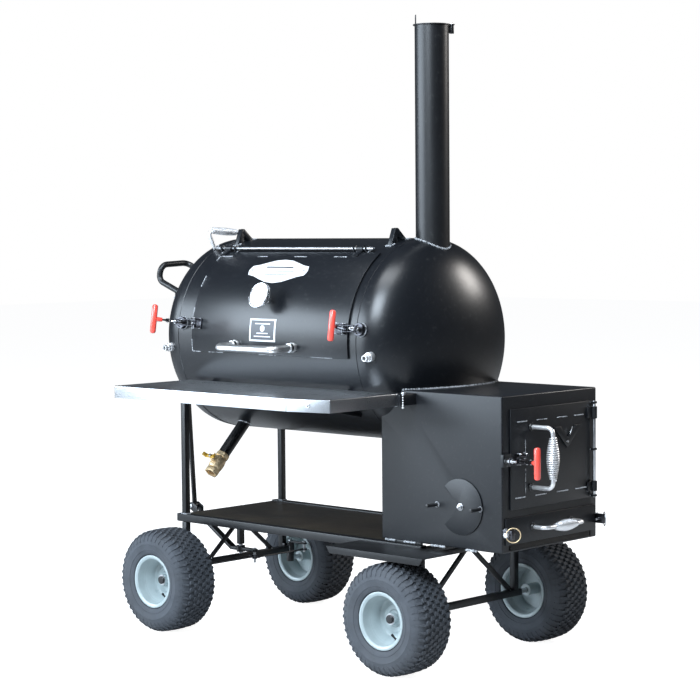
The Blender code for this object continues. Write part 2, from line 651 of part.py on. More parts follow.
def build_damper(black):
    pivot = empty("air_damper_pivot", (DAMPER_X, -FIREBOX_HALF, DAMPER_Z), ROOT)
    centre = (DAMPER_X, DAMPER_Z)
    outline = arc(centre, DAMPER_RADIUS, -139, 139, 22) + arc(centre, 0.016, 139, 221, 3)
    face = -FIREBOX_HALF - GAP
    disc = prism(outline, face - 0.005, face, "Y")
    bolt = rod((DAMPER_X, -FIREBOX_HALF + 0.012, DAMPER_Z), (DAMPER_X, face - 0.022, DAMPER_Z), 0.0045, 12)
    nut = rod((DAMPER_X, face - 0.0045, DAMPER_Z), (DAMPER_X, face - 0.013, DAMPER_Z), 0.0105, 6)
    knob_x = DAMPER_X + 0.092
    knob = rod((knob_x, face - 0.003, DAMPER_Z), (knob_x, face - 0.060, DAMPER_Z), 0.0065, 12)
    part("air_damper", [disc, nut, bolt, knob], black, pivot)


def build_ash_drawer(black, steel, chrome):
    pivot = empty("ash_drawer_pivot", (FIREBOX_RIGHT, 0, 0.53), ROOT)
    inner = FIREBOX_RIGHT + 0.0005
    face = inner + 0.006
    tray = box(0.560, inner + 0.002, -0.228, 0.228, 0.4635, 0.5600)
    room = box(0.564, inner - 0.003, -0.224, 0.224, 0.4675, 0.5700)
    front = box(inner, face, -DRAWER_HALF, DRAWER_HALF, DRAWER_BOTTOM, DRAWER_TOP)
    lugs = []
    holes = []
    for side in (-1, 1):
        low, high = sorted((side * (DRAWER_HALF - 0.0035), side * LUG_OUTER))
        lugs.append(box(inner + 0.001, LUG_RIGHT, low, high, PIN_Z - 0.017, PIN_Z + 0.017))
        holes.append(rod((PIN_X, side * 0.24, PIN_Z), (PIN_X, side * 0.29, PIN_Z), 0.0050, 12))
    part("ash_drawer", [tray], black, pivot, minus=[room])
    boolean(tray, [front, *lugs], "UNION")
    boolean(tray, holes, "DIFFERENCE")
    foot = face + GAP
    handle = coil_handle((foot, -0.110, 0.535), (foot, 0.110, 0.535), (0.062, 0, 0), 0.0070, 0.120, 0.0210)
    part("ash_drawer_handle", handle, chrome, pivot)
    for name, side in (("linch_pin_front", -1), ("linch_pin_back", 1)):
        slide = empty(f"{name}_pivot", (PIN_X, side * LUG_OUTER, PIN_Z), pivot)
        pin = rod((PIN_X, side * 0.236, PIN_Z), (PIN_X, side * (LUG_OUTER + 0.004), PIN_Z), 0.0042, 10)
        head_start = side * (LUG_OUTER + GAP)
        head = rod((PIN_X, head_start, PIN_Z), (PIN_X, head_start + side * 0.015, PIN_Z), 0.0085, 10)
        section = [(0.0235, -0.0018), (0.0270, -0.0018), (0.0270, 0.0018), (0.0235, 0.0018)]
        ring = lathe(section, (LUG_RIGHT, side * (LUG_OUTER - 0.008), PIN_Z), (1, side, 0), 16)
        part(name, [head, pin, ring], steel, slide)
    return pivot


# ---------------------------------------------------------------- table
def table_outline(inset, back):
    left, right, front = TABLE_LEFT + inset, TABLE_RIGHT - inset, TABLE_FRONT + inset
    corner = (TABLE_RIGHT - TABLE_CORNER_X, TABLE_FRONT + TABLE_CORNER_Y)
    slip = inset * 0.45
    start, end = (corner[0] - slip * 0.5, front), (right, corner[1] + slip)
    return [(left, front), start, end, (right, back), (left, back)]


def build_table(stainless):
    slab = prism(table_outline(0, TABLE_BACK), TABLE_TOP - TABLE_LIP, TABLE_TOP)
    inside = table_outline(TABLE_SHEET, TABLE_BACK + 0.02)
    room = prism(inside, TABLE_TOP - TABLE_LIP - 0.01, TABLE_TOP - TABLE_SHEET)
    part("front_table", [slab], stainless, minus=[room])


def table_braces():
    """Flat arms and slanted struts that carry the table, welded to the tank."""
    shapes = []
    low, high = TABLE_TOP - 0.032, TABLE_TOP - TABLE_SHEET - GAP
    for x in (-0.330, 0.400):
        shapes.append(box(x - 0.003, x + 0.003, -0.700, -0.330, low, high))
        strut = bar((x, -0.620, TABLE_TOP - 0.026), (x, -0.270, 0.9045), 0.0058, 0.022, (1, 0, 0))
        shapes.append(strut)
    return shapes


# ---------------------------------------------------------------- chassis
def build_chassis(black):
    shapes = []
    half = RAIL_WIDE / 2
    for side in (-1, 1):
        middle = side * (RAIL_OUTER - half)
        shapes.append(box(RAIL_LEFT, RAIL_RIGHT, middle - half, middle + half, RAIL_BOTTOM, RAIL_TOP))
    inner = RAIL_OUTER - RAIL_WIDE + 0.003
    for x in (RAIL_LEFT + 0.018, FRONT_AXLE_X, -0.02, 0.460, REAR_AXLE_X):
        shapes.append(box(x - 0.014, x + 0.014, -inner, inner, RAIL_BOTTOM + 0.001, RAIL_TOP - 0.009))
    part("chassis_frame", shapes, black)
    wide = RAIL_OUTER - RAIL_WIDE - GAP
    low, high = RAIL_TOP - 0.009 + GAP, RAIL_TOP - 0.005
    part("shelf_plate", [box(RAIL_LEFT + 0.004, FIREBOX_LEFT - 0.002, -wide, wide, low, high)], black)
    for name, side in (("leg_front", -1), ("leg_back", 1)):
        y = side * LEG_Y
        half = LEG_WIDE / 2
        leg = box(LEG_X - half, LEG_X + half, y - half, y + half, RAIL_TOP + GAP, 0.98)
        part(name, [leg], black, minus=[tank_envelope()])
    outer = -RAIL_OUTER - GAP
    top = [box(0.402, 0.866, -0.465, outer, RAIL_TOP - 0.010, RAIL_TOP - 0.007)]
    high, low = RAIL_TOP - 0.008, RAIL_TOP - 0.032
    flange = prism([(0.402, high), (0.418, low), (0.850, low), (0.866, high)], -0.465, -0.462, "Y")
    part("fender_plate", [*top, flange], black)


def build_axles(black):
    top = RAIL_BOTTOM - GAP
    x = REAR_AXLE_X
    axle = rod((x, -WHEEL_Y - 0.035, WHEEL_RADIUS), (x, WHEEL_Y + 0.035, WHEEL_RADIUS), AXLE_RADIUS, 12)
    sleeve = box(x - 0.0135, x + 0.0135, -0.300, 0.300, WHEEL_RADIUS - 0.0125, WHEEL_RADIUS + 0.0125)
    beam = box(x - 0.0120, x + 0.0120, -0.268, 0.268, top - 0.020, top - 0.0005)
    posts = []
    braces = []
    for side in (-1, 1):
        y = side * 0.268
        posts.append(box(x - 0.0125, x + 0.0125, y - 0.0125, y + 0.0125, WHEEL_RADIUS, top))
        low_end, high_end = (x, side * 0.250, WHEEL_RADIUS + 0.006), (x, side * 0.012, top - 0.008)
        braces.append(bar(low_end, high_end, 0.0115, 0.018, (1, 0, 0)))
    part("rear_axle", [sleeve, axle, *posts, beam, *braces], black)

    x, low, high = FRONT_AXLE_X, 0.232, 0.257
    beam = box(x - 0.0125, x + 0.0125, -0.282, 0.282, low, high)
    shapes = [beam]
    cuts = []
    for side in (-1, 1):
        post_y = side * LEG_Y
        gusset_y = side * 0.2655
        shapes.append(box(LEG_X - 0.0125, LEG_X + 0.0125, post_y - 0.0125, post_y + 0.0125, 0.2505, top))
        shapes.append(box(LEG_X - 0.0120, x - 0.006, gusset_y - 0.0065, gusset_y + 0.0065, 0.2495, 0.2660))
        shapes.append(rod((x, side * KINGPIN_Y, 0.2225), (x, side * KINGPIN_Y, 0.2665), 0.0170, 12))
        cuts.append(rod((x, side * KINGPIN_Y, 0.2), (x, side * KINGPIN_Y, 0.3), 0.0098, 10))
        low_end, high_end = (x, side * 0.180, high - 0.006), (x, side * 0.010, top - 0.020)
        shapes.append(bar(low_end, high_end, 0.0115, 0.016, (1, 0, 0)))
    shapes.append(box(x - 0.0110, x + 0.0110, -0.0125, 0.0125, 0.2960, top))
    shapes.append(rod((x, 0, high - 0.004), (x, 0, 0.300), 0.0080, 8))
    part("front_axle", shapes, black, minus=cuts)


def build_steering(black, steel):
    x = FRONT_AXLE_X
    pin_x = x + STEER_LENGTH
    arm_pivot = empty("steering_pivot", (x, 0, 0.277), ROOT)
    level = 0.277
    eye = rod((x, 0, level - 0.0125), (x, 0, level + 0.0125), 0.0180, 12)
    rear = box(x, pin_x, -0.011, 0.011, level - 0.007, level + 0.006)
    rear_end = rod((pin_x, 0, level - 0.0065), (pin_x, 0, level + 0.0055), 0.0130, 10)
    pin = rod((pin_x, 0, level - 0.002), (pin_x, 0, level - 0.050), 0.0050, 8)
    front = bar((x - 0.010, 0, level), (x - 0.050, 0, level + 0.002), 0.030, 0.012)
    riser = bar((x - 0.046, 0, level - 0.001), (TONGUE_X + 0.030, 0, TONGUE_Z - 0.028), 0.030, 0.013)
    left, right, low, high = TONGUE_X - 0.018, TONGUE_X + 0.034, TONGUE_Z - 0.040, TONGUE_Z + 0.016
    ears = [box(left, right, side * 0.0165 - 0.0025, side * 0.0165 + 0.0025, low, high) for side in (-1, 1)]
    floor = box(TONGUE_X + 0.010, right - 0.001, -0.018, 0.018, low + 0.001, TONGUE_Z - 0.022)
    cross = rod((TONGUE_X, -0.018, TONGUE_Z), (TONGUE_X, 0.018, TONGUE_Z), 0.0050, 8)
    bore = rod((x, 0, 0.24), (x, 0, 0.31), 0.0090, 10)
    shapes = [eye, rear, rear_end, pin, front, riser, floor, *ears, cross]
    part("steering_drawbar", shapes, black, arm_pivot, minus=[bore])

    tongue_pivot = empty("tongue_pivot", (TONGUE_X, 0, TONGUE_Z), arm_pivot)
    top = Vector((TONGUE_X - 0.042, 0, 1.030))
    boss = rod((TONGUE_X, -0.0125, TONGUE_Z), (TONGUE_X, 0.0125, TONGUE_Z), 0.0130, 10)
    shaft = bar((TONGUE_X, 0, TONGUE_Z), top, 0.020, 0.010)
    grip = rod(top - Vector((0, 0.060, 0)), top + Vector((0, 0.060, 0)), 0.0100, 8)
    bore = rod((TONGUE_X, -0.03, TONGUE_Z), (TONGUE_X, 0.03, TONGUE_Z), 0.0060, 8)
    part("pull_tongue", [boss, shaft, grip], black, tongue_pivot, minus=[bore])

    knuckles = {}
    for name, side in (("front", -1), ("back", 1)):
        y = side * KINGPIN_Y
        pivot = empty(f"knuckle_{name}_pivot", (x, y, 0.245), ROOT)
        knuckles[name] = pivot
        cap = rod((x, y, 0.2670), (x, y, 0.2760), 0.0120, 10)
        kingpin = rod((x, y, 0.1900), (x, y, 0.2740), 0.0090, 10)
        block = rod((x, y, 0.1880), (x, y, 0.2220), 0.0150, 10)
        stub = rod((x, y, WHEEL_RADIUS), (x, side * (WHEEL_Y + 0.035), WHEEL_RADIUS), AXLE_RADIUS, 12)
        arm = box(x, pin_x, y - 0.0100, y + 0.0100, 0.2680, 0.2755)
        arm_end = rod((pin_x, y, 0.2685), (pin_x, y, 0.2750), 0.0110, 10)
        drop = rod((pin_x, y, 0.2720), (pin_x, y, 0.2350), 0.0050, 8)
        part(f"knuckle_{name}", [block, kingpin, cap, stub, arm, arm_end, drop], black, pivot)

    for name, side, level in (("front", -1, 0.2560), ("back", 1, 0.2470)):
        pivot = empty(f"tie_rod_{name}_pivot", (pin_x, 0, level), arm_pivot)
        y = side * KINGPIN_Y
        eyes = [rod((pin_x, end, level - 0.0035), (pin_x, end, level + 0.0035), 0.0115, 10) for end in (0, y)]
        shaft = rod((pin_x, side * 0.009, level), (pin_x, y - side * 0.009, level), 0.0032, 8)
        bores = [rod((pin_x, end, level - 0.02), (pin_x, end, level + 0.02), 0.0058, 8) for end in (0, y)]
        part(f"tie_rod_{name}", [eyes[0], shaft, eyes[1]], steel, pivot, minus=bores)
    return knuckles


# ---------------------------------------------------------------- wheels
TYRE_PROFILE = (
    (0.0905, 0.0755),
    (0.1052, 0.0755),
    (0.1085, 0.0880),
    (0.1450, 0.0945),
    (0.1850, 0.0840),
    (0.1990, 0.0600),
    (0.2030, 0.0250),
)
RIM_LIP = ((0.0895, 0.0765), (0.1010, 0.0772), (0.1045, 0.0845), (0.0890, 0.0815), (0.0745, 0.0360))
WHEEL_SIDES = 20
FLAT_DOWN = pi / WHEEL_SIDES  # a flat of each faceted wheel rests on the ground


def build_wheel(name, x, side, tyre_finish, rim_finish, parent):
    y = side * WHEEL_Y
    spin = empty(f"wheel_{name}_pivot", (x, y, WHEEL_RADIUS), parent)
    outward = (0, side, 0)
    centre = (x, y, WHEEL_RADIUS)
    outer = [(radius / cos(FLAT_DOWN), height) for radius, height in TYRE_PROFILE]
    mirrored = [(radius, -height) for radius, height in outer]
    tyre = lathe(outer + mirrored[::-1], centre, outward, WHEEL_SIDES, turn=FLAT_DOWN)
    part(f"tyre_{name}", [tyre], tyre_finish, spin)
    bore = AXLE_RADIUS + 0.0007
    profile = [
        (0, 0.0415),
        (0.0220, 0.0415),
        (0.0240, 0.004),
        (0.0700, 0.004),
        *RIM_LIP[::-1],
        (0.0780, 0.0350),
        (0.0780, -0.0350),
        *[(radius, -height) for radius, height in RIM_LIP],
        (0.0700, -0.001),
        (0.0240, -0.001),
        (0.0230, -0.0600),
        (bore, -0.0600),
        (bore, 0.0370),
        (0, 0.0370),
    ]
    part(f"rim_{name}", [lathe(profile, centre, outward, WHEEL_SIDES, False, FLAT_DOWN)], rim_finish, spin)


# ---------------------------------------------------------------- assembly
EXTENT_LEFT, EXTENT_RIGHT = TONGUE_X - 0.052, DOOR_FACE + GAP + GRIP_HEIGHT + GRIP_RADIUS
EXTENT_FRONT, EXTENT_BACK = TABLE_FRONT, WHEEL_Y + 0.0945


def main():
    global ROOT
    clear_scene()
    ROOT = empty("smoker", (0, 0, 0))
    ROOT.location = (-(EXTENT_LEFT + EXTENT_RIGHT) / 2, -(EXTENT_FRONT + EXTENT_BACK) / 2, 0)

    black = material("black_paint", BLACK, 0.30)
    shelf_steel = material("bare_steel", (0.10, 0.09, 0.08), 0.45, 0.8)
    stainless = material("stainless", (0.62, 0.63, 0.64), 0.28, 1.0)
    chrome = material("chrome", (0.72, 0.72, 0.72), 0.14, 1.0)
    zinc = material("dark_zinc", (0.07, 0.07, 0.075), 0.38, 0.9)
    red = material("red_vinyl", RED, 0.42)
    brass = material("brass", (0.62, 0.45, 0.20), 0.30, 1.0)
    yellow = material("yellow_vinyl", (0.80, 0.47, 0.05), 0.45)
    rubber = material("tyre_rubber", (0.022, 0.023, 0.025), 0.85)
    grey = material("rim_grey", (0.28, 0.32, 0.33), 0.40)

    build_tank(black)
    build_stack(black)
    build_grates(shelf_steel)
    build_drain(black, brass, yellow)
    lid = build_lid(black, stainless, chrome)
    build_tank_fittings(black, chrome)
    build_clamp("lid_clamp_left", surface_frame(LID_LEFT, CLAMP_HEIGHT, (-1, 0, 0)), zinc, red, lid)
    build_clamp("lid_clamp_right", surface_frame(LID_RIGHT, CLAMP_HEIGHT, (1, 0, 0)), zinc, red, lid)

    build_firebox(black)
    door = build_firebox_door(black, chrome)
    door_frame = Matrix.Translation((DOOR_FACE + GAP, -0.2095, 0.782)) @ Matrix(
        ((0, 0, 1), (-1, 0, 0), (0, -1, 0))
    ).to_4x4()
    build_clamp("firebox_clamp", door_frame, zinc, red, door)
    build_damper(black)
    build_ash_drawer(black, zinc, chrome)

    build_table(stainless)
    build_chassis(black)
    build_axles(black)
    knuckles = build_steering(black, zinc)
    for name, x, side, parent in (
        ("front_left", FRONT_AXLE_X, -1, knuckles["front"]),
        ("back_left", FRONT_AXLE_X, 1, knuckles["back"]),
        ("front_right", REAR_AXLE_X, -1, ROOT),
        ("back_right", REAR_AXLE_X, 1, ROOT),
    ):
        build_wheel(name, x, side, rubber, grey, parent)


main()
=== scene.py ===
"""Offset smoker: the finished look of every piece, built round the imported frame."""

from math import cos, pi, radians, sin, sqrt

import bmesh
import bpy
from mathutils import Matrix, Vector


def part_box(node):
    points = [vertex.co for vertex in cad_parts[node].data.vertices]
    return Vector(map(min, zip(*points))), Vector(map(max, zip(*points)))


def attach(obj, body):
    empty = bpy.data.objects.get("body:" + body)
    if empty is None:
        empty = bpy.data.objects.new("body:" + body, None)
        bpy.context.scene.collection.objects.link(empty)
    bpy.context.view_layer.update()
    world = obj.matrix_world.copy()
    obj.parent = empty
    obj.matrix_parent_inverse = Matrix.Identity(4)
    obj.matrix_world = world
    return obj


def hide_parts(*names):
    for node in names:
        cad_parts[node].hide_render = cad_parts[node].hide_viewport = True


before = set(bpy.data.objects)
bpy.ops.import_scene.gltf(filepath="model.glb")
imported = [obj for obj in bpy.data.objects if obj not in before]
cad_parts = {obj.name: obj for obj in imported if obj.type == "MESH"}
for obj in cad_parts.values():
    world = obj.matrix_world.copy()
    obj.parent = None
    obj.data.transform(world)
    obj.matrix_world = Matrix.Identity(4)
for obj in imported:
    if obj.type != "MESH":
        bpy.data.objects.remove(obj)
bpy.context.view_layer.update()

# ---------------------------------------------------------------- places read from the frame
left_low, left_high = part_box("tank_head_left")
right_low, right_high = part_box("tank_head_right")
SHIFT = Vector(((left_low.x + right_high.x) / 2, (left_low.y + left_high.y) / 2, 0))
TANK_Z = (left_low.z + left_high.z) / 2
RADIUS = (left_high.z - left_low.z) / 2
HEAD_END = (right_high.x - left_low.x) / 2
HEAD_DEPTH = 0.200
HEAD_START = HEAD_END - HEAD_DEPTH
WALL = 0.006
JOINT_LEFT, JOINT_RIGHT = -0.481, 0.477


def local(node):
    """A node's box in the tank's frame, where the tank's middle is x = 0, y = 0."""
    low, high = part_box(node)
    return low - SHIFT, high - SHIFT


LID_LOW, LID_HIGH = -8.1, 58.0
STITCH_PROUD = 0.002
LID_LEFT, LID_RIGHT = local("lid_panel")[0].x + STITCH_PROUD, local("lid_panel")[1].x
LID_INNER = RADIUS + 0.0016
LID_OUTER = LID_INNER + 0.006
HINGE_RADIUS, HINGE_ANGLE = 0.395, 60.5
BOX_LEFT, BOX_RIGHT, BOX_HALF = 0.500, 1.067, 0.272
BOX_LOW, BOX_HIGH = 0.4555, local("firebox_shell")[1].z
DOOR_FACE = BOX_RIGHT + 0.0065
HINGE_PIN = Vector((BOX_RIGHT + 0.014, 0.2405))
STACK_X = 0.518
STACK_RADIUS, STACK_TOP = 0.0635, 2.335
TABLE_LOW, TABLE_HIGH = local("front_table")
RAIL_TOP = local("chassis_frame")[1].z
RAIL_LOW = local("chassis_frame")[0].z
WHEEL_RADIUS = 0.203
LEFT_AXLE, RIGHT_AXLE = -0.5396, 0.6848
TONGUE = Vector((-0.818, 0, 0.430))


# ---------------------------------------------------------------- finishes
class Wire:
    """A value inside a finish. Arithmetic on it adds Math nodes."""

    def __init__(self, finish, socket):
        self.finish, self.socket = finish, socket

    def math(self, operation, *values):
        node = self.finish.node("ShaderNodeMath", {"operation": operation}, dict(enumerate(values)))
        return Wire(self.finish, node.outputs[0])

    def __add__(self, other):
        return self.math("ADD", self, other)

    def __sub__(self, other):
        return self.math("SUBTRACT", self, other)

    def __rsub__(self, other):
        return self.math("SUBTRACT", other, self)

    def __mul__(self, other):
        return self.math("MULTIPLY", self, other)

    def __truediv__(self, other):
        return self.math("DIVIDE", self, other)

    def __pow__(self, other):
        return self.math("POWER", self, other)

    __radd__ = __add__
    __rmul__ = __mul__

    def clamp(self):
        return self.math("MINIMUM", self.math("MAXIMUM", self, 0.0), 1.0)

    def above(self, edge, soft):
        """0 below the edge and 1 above it, over a soft width."""
        return ((self - edge) / soft + 0.5).clamp()


class Finish:
    """One finish: a Principled shader and the nodes that vary it."""

    def __init__(self, name, colour, roughness, metallic=0.0, coat=0.0):
        self.made = bpy.data.materials.new(name)
        self.made.use_nodes = True
        self.tree = self.made.node_tree
        self.shader = self.tree.nodes["Principled BSDF"]
        self.set("Base Color", (*colour, 1.0))
        self.set("Roughness", roughness)
        self.set("Metallic", metallic)
        self.set("Coat Weight", coat)
        self.set("Coat Roughness", 0.12)
        self.made.diffuse_color = (*colour, 1.0)
        self.place = Wire(self, self.node("ShaderNodeTexCoord").outputs["Object"])

    def node(self, kind, settings=None, inputs=None):
        made = self.tree.nodes.new(kind)
        for name, value in (settings or {}).items():
            if name == "stops":
                ramp = made.color_ramp
                for place, colour in value[2:]:
                    ramp.elements.new(place)
                for element, (place, colour) in zip(ramp.elements, sorted(value)):
                    element.position, element.color = place, (*colour, 1.0)
            else:
                setattr(made, name, value)
        for name, value in (inputs or {}).items():
            if isinstance(value, Wire):
                self.tree.links.new(value.socket, made.inputs[name])
            else:
                made.inputs[name].default_value = value
        return made

    def set(self, name, value):
        if isinstance(value, Wire):
            self.tree.links.new(value.socket, self.shader.inputs[name])
        else:
            self.shader.inputs[name].default_value = value

    def stretched(self, scale):
        node = self.node("ShaderNodeMapping", None, {"Vector": self.place, "Scale": scale})
        return Wire(self, node.outputs[0])

    def noise(self, scale, detail=3.0, rough=0.55, vector=None):
        values = {"Vector": vector or self.place, "Scale": scale, "Detail": detail, "Roughness": rough}
        return Wire(self, self.node("ShaderNodeTexNoise", None, values).outputs[0])

    def grains(self, scale, vector=None):
        values = {"Vector": vector or self.place, "Scale": scale}
        return Wire(self, self.node("ShaderNodeTexVoronoi", None, values).outputs["Distance"])

    def blend(self, share, first, second):
        node = self.node(
            "ShaderNodeMix", {"data_type": "RGBA"}, {0: share, 6: (*first, 1), 7: (*second, 1)}
        )
        return Wire(self, node.outputs[2])

    def blend_over(self, share, under, colour):
        node = self.node("ShaderNodeMix", {"data_type": "RGBA"}, {0: share, 6: under, 7: (*colour, 1)})
        return Wire(self, node.outputs[2])

    def bump(self, height, strength, distance=0.001):
        values = {"Height": height, "Strength": strength, "Distance": distance}
        self.set("Normal", Wire(self, self.node("ShaderNodeBump", None, values).outputs[0]))


def heat_paint(name, colour, roughness):
    """Sprayed heat-proof enamel: fine orange peel, faint cloudiness and a little dust."""
    paint = Finish(name, colour, roughness)
    cloud = paint.noise(2.3, 4.0)
    peel = paint.noise(420.0, 2.0)
    dust = paint.noise(60.0, 6.0, 0.7).above(0.62, 0.10)
    lighter = tuple(c * 1.35 + 0.0005 for c in colour)
    base = paint.blend(cloud.above(0.5, 0.5), colour, lighter)
    paint.set("Base Color", paint.blend_over(dust * 0.10, base, (0.10, 0.10, 0.10)))
    paint.set("Roughness", roughness + (cloud - 0.5) * 0.10 + dust * 0.06)
    paint.bump(peel, 0.06, 0.0006)
    return paint.made


def brushed_steel(name, colour, roughness, direction, depth=0.10):
    """Sheet or tube with fine polishing lines along one direction."""
    steel = Finish(name, colour, roughness, 1.0)
    lines = steel.noise(1.0, 3.0, 0.6, steel.stretched(direction))
    cloud = steel.noise(5.0, 3.0)
    darker = tuple(c * 0.80 for c in colour)
    steel.set("Base Color", steel.blend(lines.above(0.45, 0.6) * 0.6 + cloud * 0.3, darker, colour))
    steel.set("Roughness", roughness + (lines - 0.5) * 0.22 + (cloud - 0.5) * 0.10)
    steel.bump(lines, depth, 0.0003)
    return steel.made


def plated(name, colour, roughness, scale=180.0, dark=0.55, metallic=1.0):
    """Plated or cast metal: small pits and slight discolouring."""
    metal = Finish(name, colour, roughness, metallic)
    cloud = metal.noise(28.0, 4.0)
    pits = metal.noise(scale * 4, 3.0)
    shaded = tuple(c * dark for c in colour)
    metal.set("Base Color", metal.blend(cloud.above(0.40, 0.30), shaded, colour))
    metal.set("Roughness", roughness + (cloud - 0.5) * 0.20)
    metal.bump(pits, 0.10, 0.0003)
    return metal.made


def mill_plate(name):
    """Hot-rolled plate painted thin: brownish, blotched, scuffed along its length."""
    plate = Finish(name, (0.020, 0.018, 0.016), 0.42)
    cloud = plate.noise(4.5, 5.0, 0.65)
    scuffs = plate.noise(1.0, 4.0, 0.6, plate.stretched((9.0, 60.0, 60.0)))
    base = plate.blend(cloud.above(0.5, 0.35), (0.022, 0.018, 0.014), (0.052, 0.042, 0.030))
    plate.set("Base Color", plate.blend_over(scuffs.above(0.63, 0.08) * 0.35, base, (0.075, 0.070, 0.064)))
    plate.set("Roughness", 0.40 + (cloud - 0.5) * 0.25 + (scuffs - 0.5) * 0.15)
    plate.bump(scuffs * 0.6 + cloud * 0.4, 0.12, 0.0006)
    return plate.made


def moulded(name, colour, roughness, grain, coat=0.0, fade=1.25):
    """Vinyl or moulded plastic with a fine skin."""
    skin = Finish(name, colour, roughness, coat=coat)
    cloud = skin.noise(30.0, 3.0)
    faded = tuple(min(1.0, c * fade + 0.004) for c in colour)
    skin.set("Base Color", skin.blend(cloud.above(0.5, 0.4), colour, faded))
    skin.set("Roughness", roughness + (cloud - 0.5) * 0.16)
    skin.bump(skin.noise(grain, 3.0), 0.10, 0.0004)
    return skin.made


def rubber(name):
    """Tyre rubber with a bloom of dust in patches and fine moulding grain."""
    tyre = Finish(name, (0.030, 0.032, 0.036), 0.78)
    cloud = tyre.noise(14.0, 5.0, 0.65)
    dust = tyre.noise(5.0, 4.0).above(0.52, 0.25)
    base = tyre.blend(cloud.above(0.5, 0.4), (0.042, 0.048, 0.058), (0.072, 0.080, 0.094))
    tyre.set("Base Color", tyre.blend_over(dust * 0.22, base, (0.095, 0.095, 0.095)))
    tyre.set("Roughness", 0.70 + cloud * 0.20)
    tyre.bump(tyre.noise(300.0, 4.0) + cloud * 0.4, 0.22, 0.0010)
    return tyre.made


def weld_metal(name):
    """Weld bead under thin paint: rippled and slightly brighter than the plate."""
    bead = Finish(name, (0.30, 0.31, 0.33), 0.34, 0.45)
    cloud = bead.noise(90.0, 4.0)
    bead.set("Base Color", bead.blend(cloud.above(0.42, 0.2), (0.10, 0.105, 0.115), (0.62, 0.64, 0.67)))
    bead.set("Roughness", 0.30 + cloud * 0.2)
    bead.bump(cloud, 0.3, 0.001)
    return bead.made


BLACK = heat_paint("black_enamel", (0.0050, 0.0060, 0.0080), 0.31)
BOX_BLACK = heat_paint("firebox_enamel", (0.0050, 0.0060, 0.0080), 0.38)
STACK_BLACK = heat_paint("stack_enamel", (0.0055, 0.0060, 0.0072), 0.38)
FRAME_BLACK = heat_paint("chassis_enamel", (0.0045, 0.0050, 0.0060), 0.38)
SHELF = mill_plate("shelf_plate_enamel")
WELD = weld_metal("weld_bead")
TABLE = brushed_steel("brushed_sheet", (0.53, 0.545, 0.565), 0.30, (14.0, 900.0, 900.0))
TUBE = brushed_steel("brushed_tube", (0.86, 0.86, 0.86), 0.40, (12.0, 700.0, 700.0), 0.06)
GRATE = plated("grate_steel", (0.16, 0.155, 0.15), 0.42, 120.0)
BRIGHT = plated("bright_plate_wire", (0.92, 0.92, 0.93), 0.34, 200.0, 0.88, 0.75)
ZINC = plated("oxide_zinc", (0.085, 0.085, 0.095), 0.30, 240.0)
PIN = plated("polished_pin", (0.62, 0.63, 0.65), 0.34, 200.0, 0.75)
RED = moulded("red_vinyl_grip", (0.92, 0.085, 0.060), 0.30, 300.0, 0.6, 1.08)
BRASS = plated("sand_cast_brass", (0.88, 0.68, 0.42), 0.42, 260.0, 0.82, 0.65)
YELLOW = moulded("yellow_vinyl_lever", (0.74, 0.45, 0.06), 0.35, 260.0, 0.2)
RUBBER = rubber("turf_rubber")
RIM = moulded("grey_wheel_enamel", (0.34, 0.40, 0.41), 0.30, 420.0, 0.4, 1.12)
HUB = moulded("black_hub_cap", (0.012, 0.012, 0.013), 0.35, 300.0)
DIAL = moulded("dial_face", (0.86, 0.86, 0.85), 0.35, 500.0, 0.3, 1.02)
# Dial marks and needle; the same dark finish also paints the shade of the table bolt's hex socket.
DIAL_MARKS_AND_SOCKET_SHADE = moulded("dial_marks_and_socket_shade", (0.02, 0.02, 0.02), 0.4, 500.0)
GLASS = Finish("dial_rim_polish", (0.80, 0.80, 0.81), 0.12, 1.0).made
PLATE = moulded("badge_plate", (0.68, 0.69, 0.70), 0.42, 500.0, 0.3, 1.08)
INK = moulded("badge_ink", (0.045, 0.05, 0.06), 0.4, 400.0)
SOOT = moulded("soot_lining", (0.016, 0.014, 0.012), 0.85, 120.0)


# ---------------------------------------------------------------- shapes, in the tank's frame
def clean(bm):
    bmesh.ops.remove_doubles(bm, verts=bm.verts, dist=1e-6)
    bm.normal_update()
    bmesh.ops.recalc_face_normals(bm, faces=bm.faces)
    return bm


def ease(bm, edges, width, steps=2):
    """Rounds edges over."""
    if width:
        bmesh.ops.bevel(
            bm,
            geom=list(edges),
            offset=width,
            offset_type="OFFSET",
            segments=steps,
            profile=0.5,
            affect="EDGES",
            clamp_overlap=True,
            material=-1,
        )
    return bm


def corners(bm, angle=50):
    """The edges where faces meet at more than this angle."""
    bm.normal_update()
    return [e for e in bm.edges if len(e.link_faces) == 2 and e.calc_face_angle(0) > radians(angle)]


def block(low, high, edge=0.0015, steps=2):
    low, high = Vector(low), Vector(high)
    bm = bmesh.new()
    bmesh.ops.create_cube(bm, size=1.0)
    bmesh.ops.scale(bm, vec=high - low, verts=bm.verts)
    bmesh.ops.translate(bm, vec=(low + high) / 2, verts=bm.verts)
    return clean(ease(bm, bm.edges, edge, steps))


def facing(direction):
    return Vector((0, 0, 1)).rotation_difference(Vector(direction)).to_matrix().to_4x4()


def rod(start, end, radius, edge=0.0, sides=28, tip=None):
    start, end = Vector(start), Vector(end)
    bm = bmesh.new()
    bmesh.ops.create_cone(
        bm,
        cap_ends=True,
        segments=sides,
        radius1=radius,
        radius2=radius if tip is None else tip,
        depth=(end - start).length,
    )
    if edge:
        ease(bm, corners(bm, 65 if sides > 6 else 50), edge)
    bm.transform(Matrix.Translation((start + end) / 2) @ facing(end - start))
    return clean(bm)


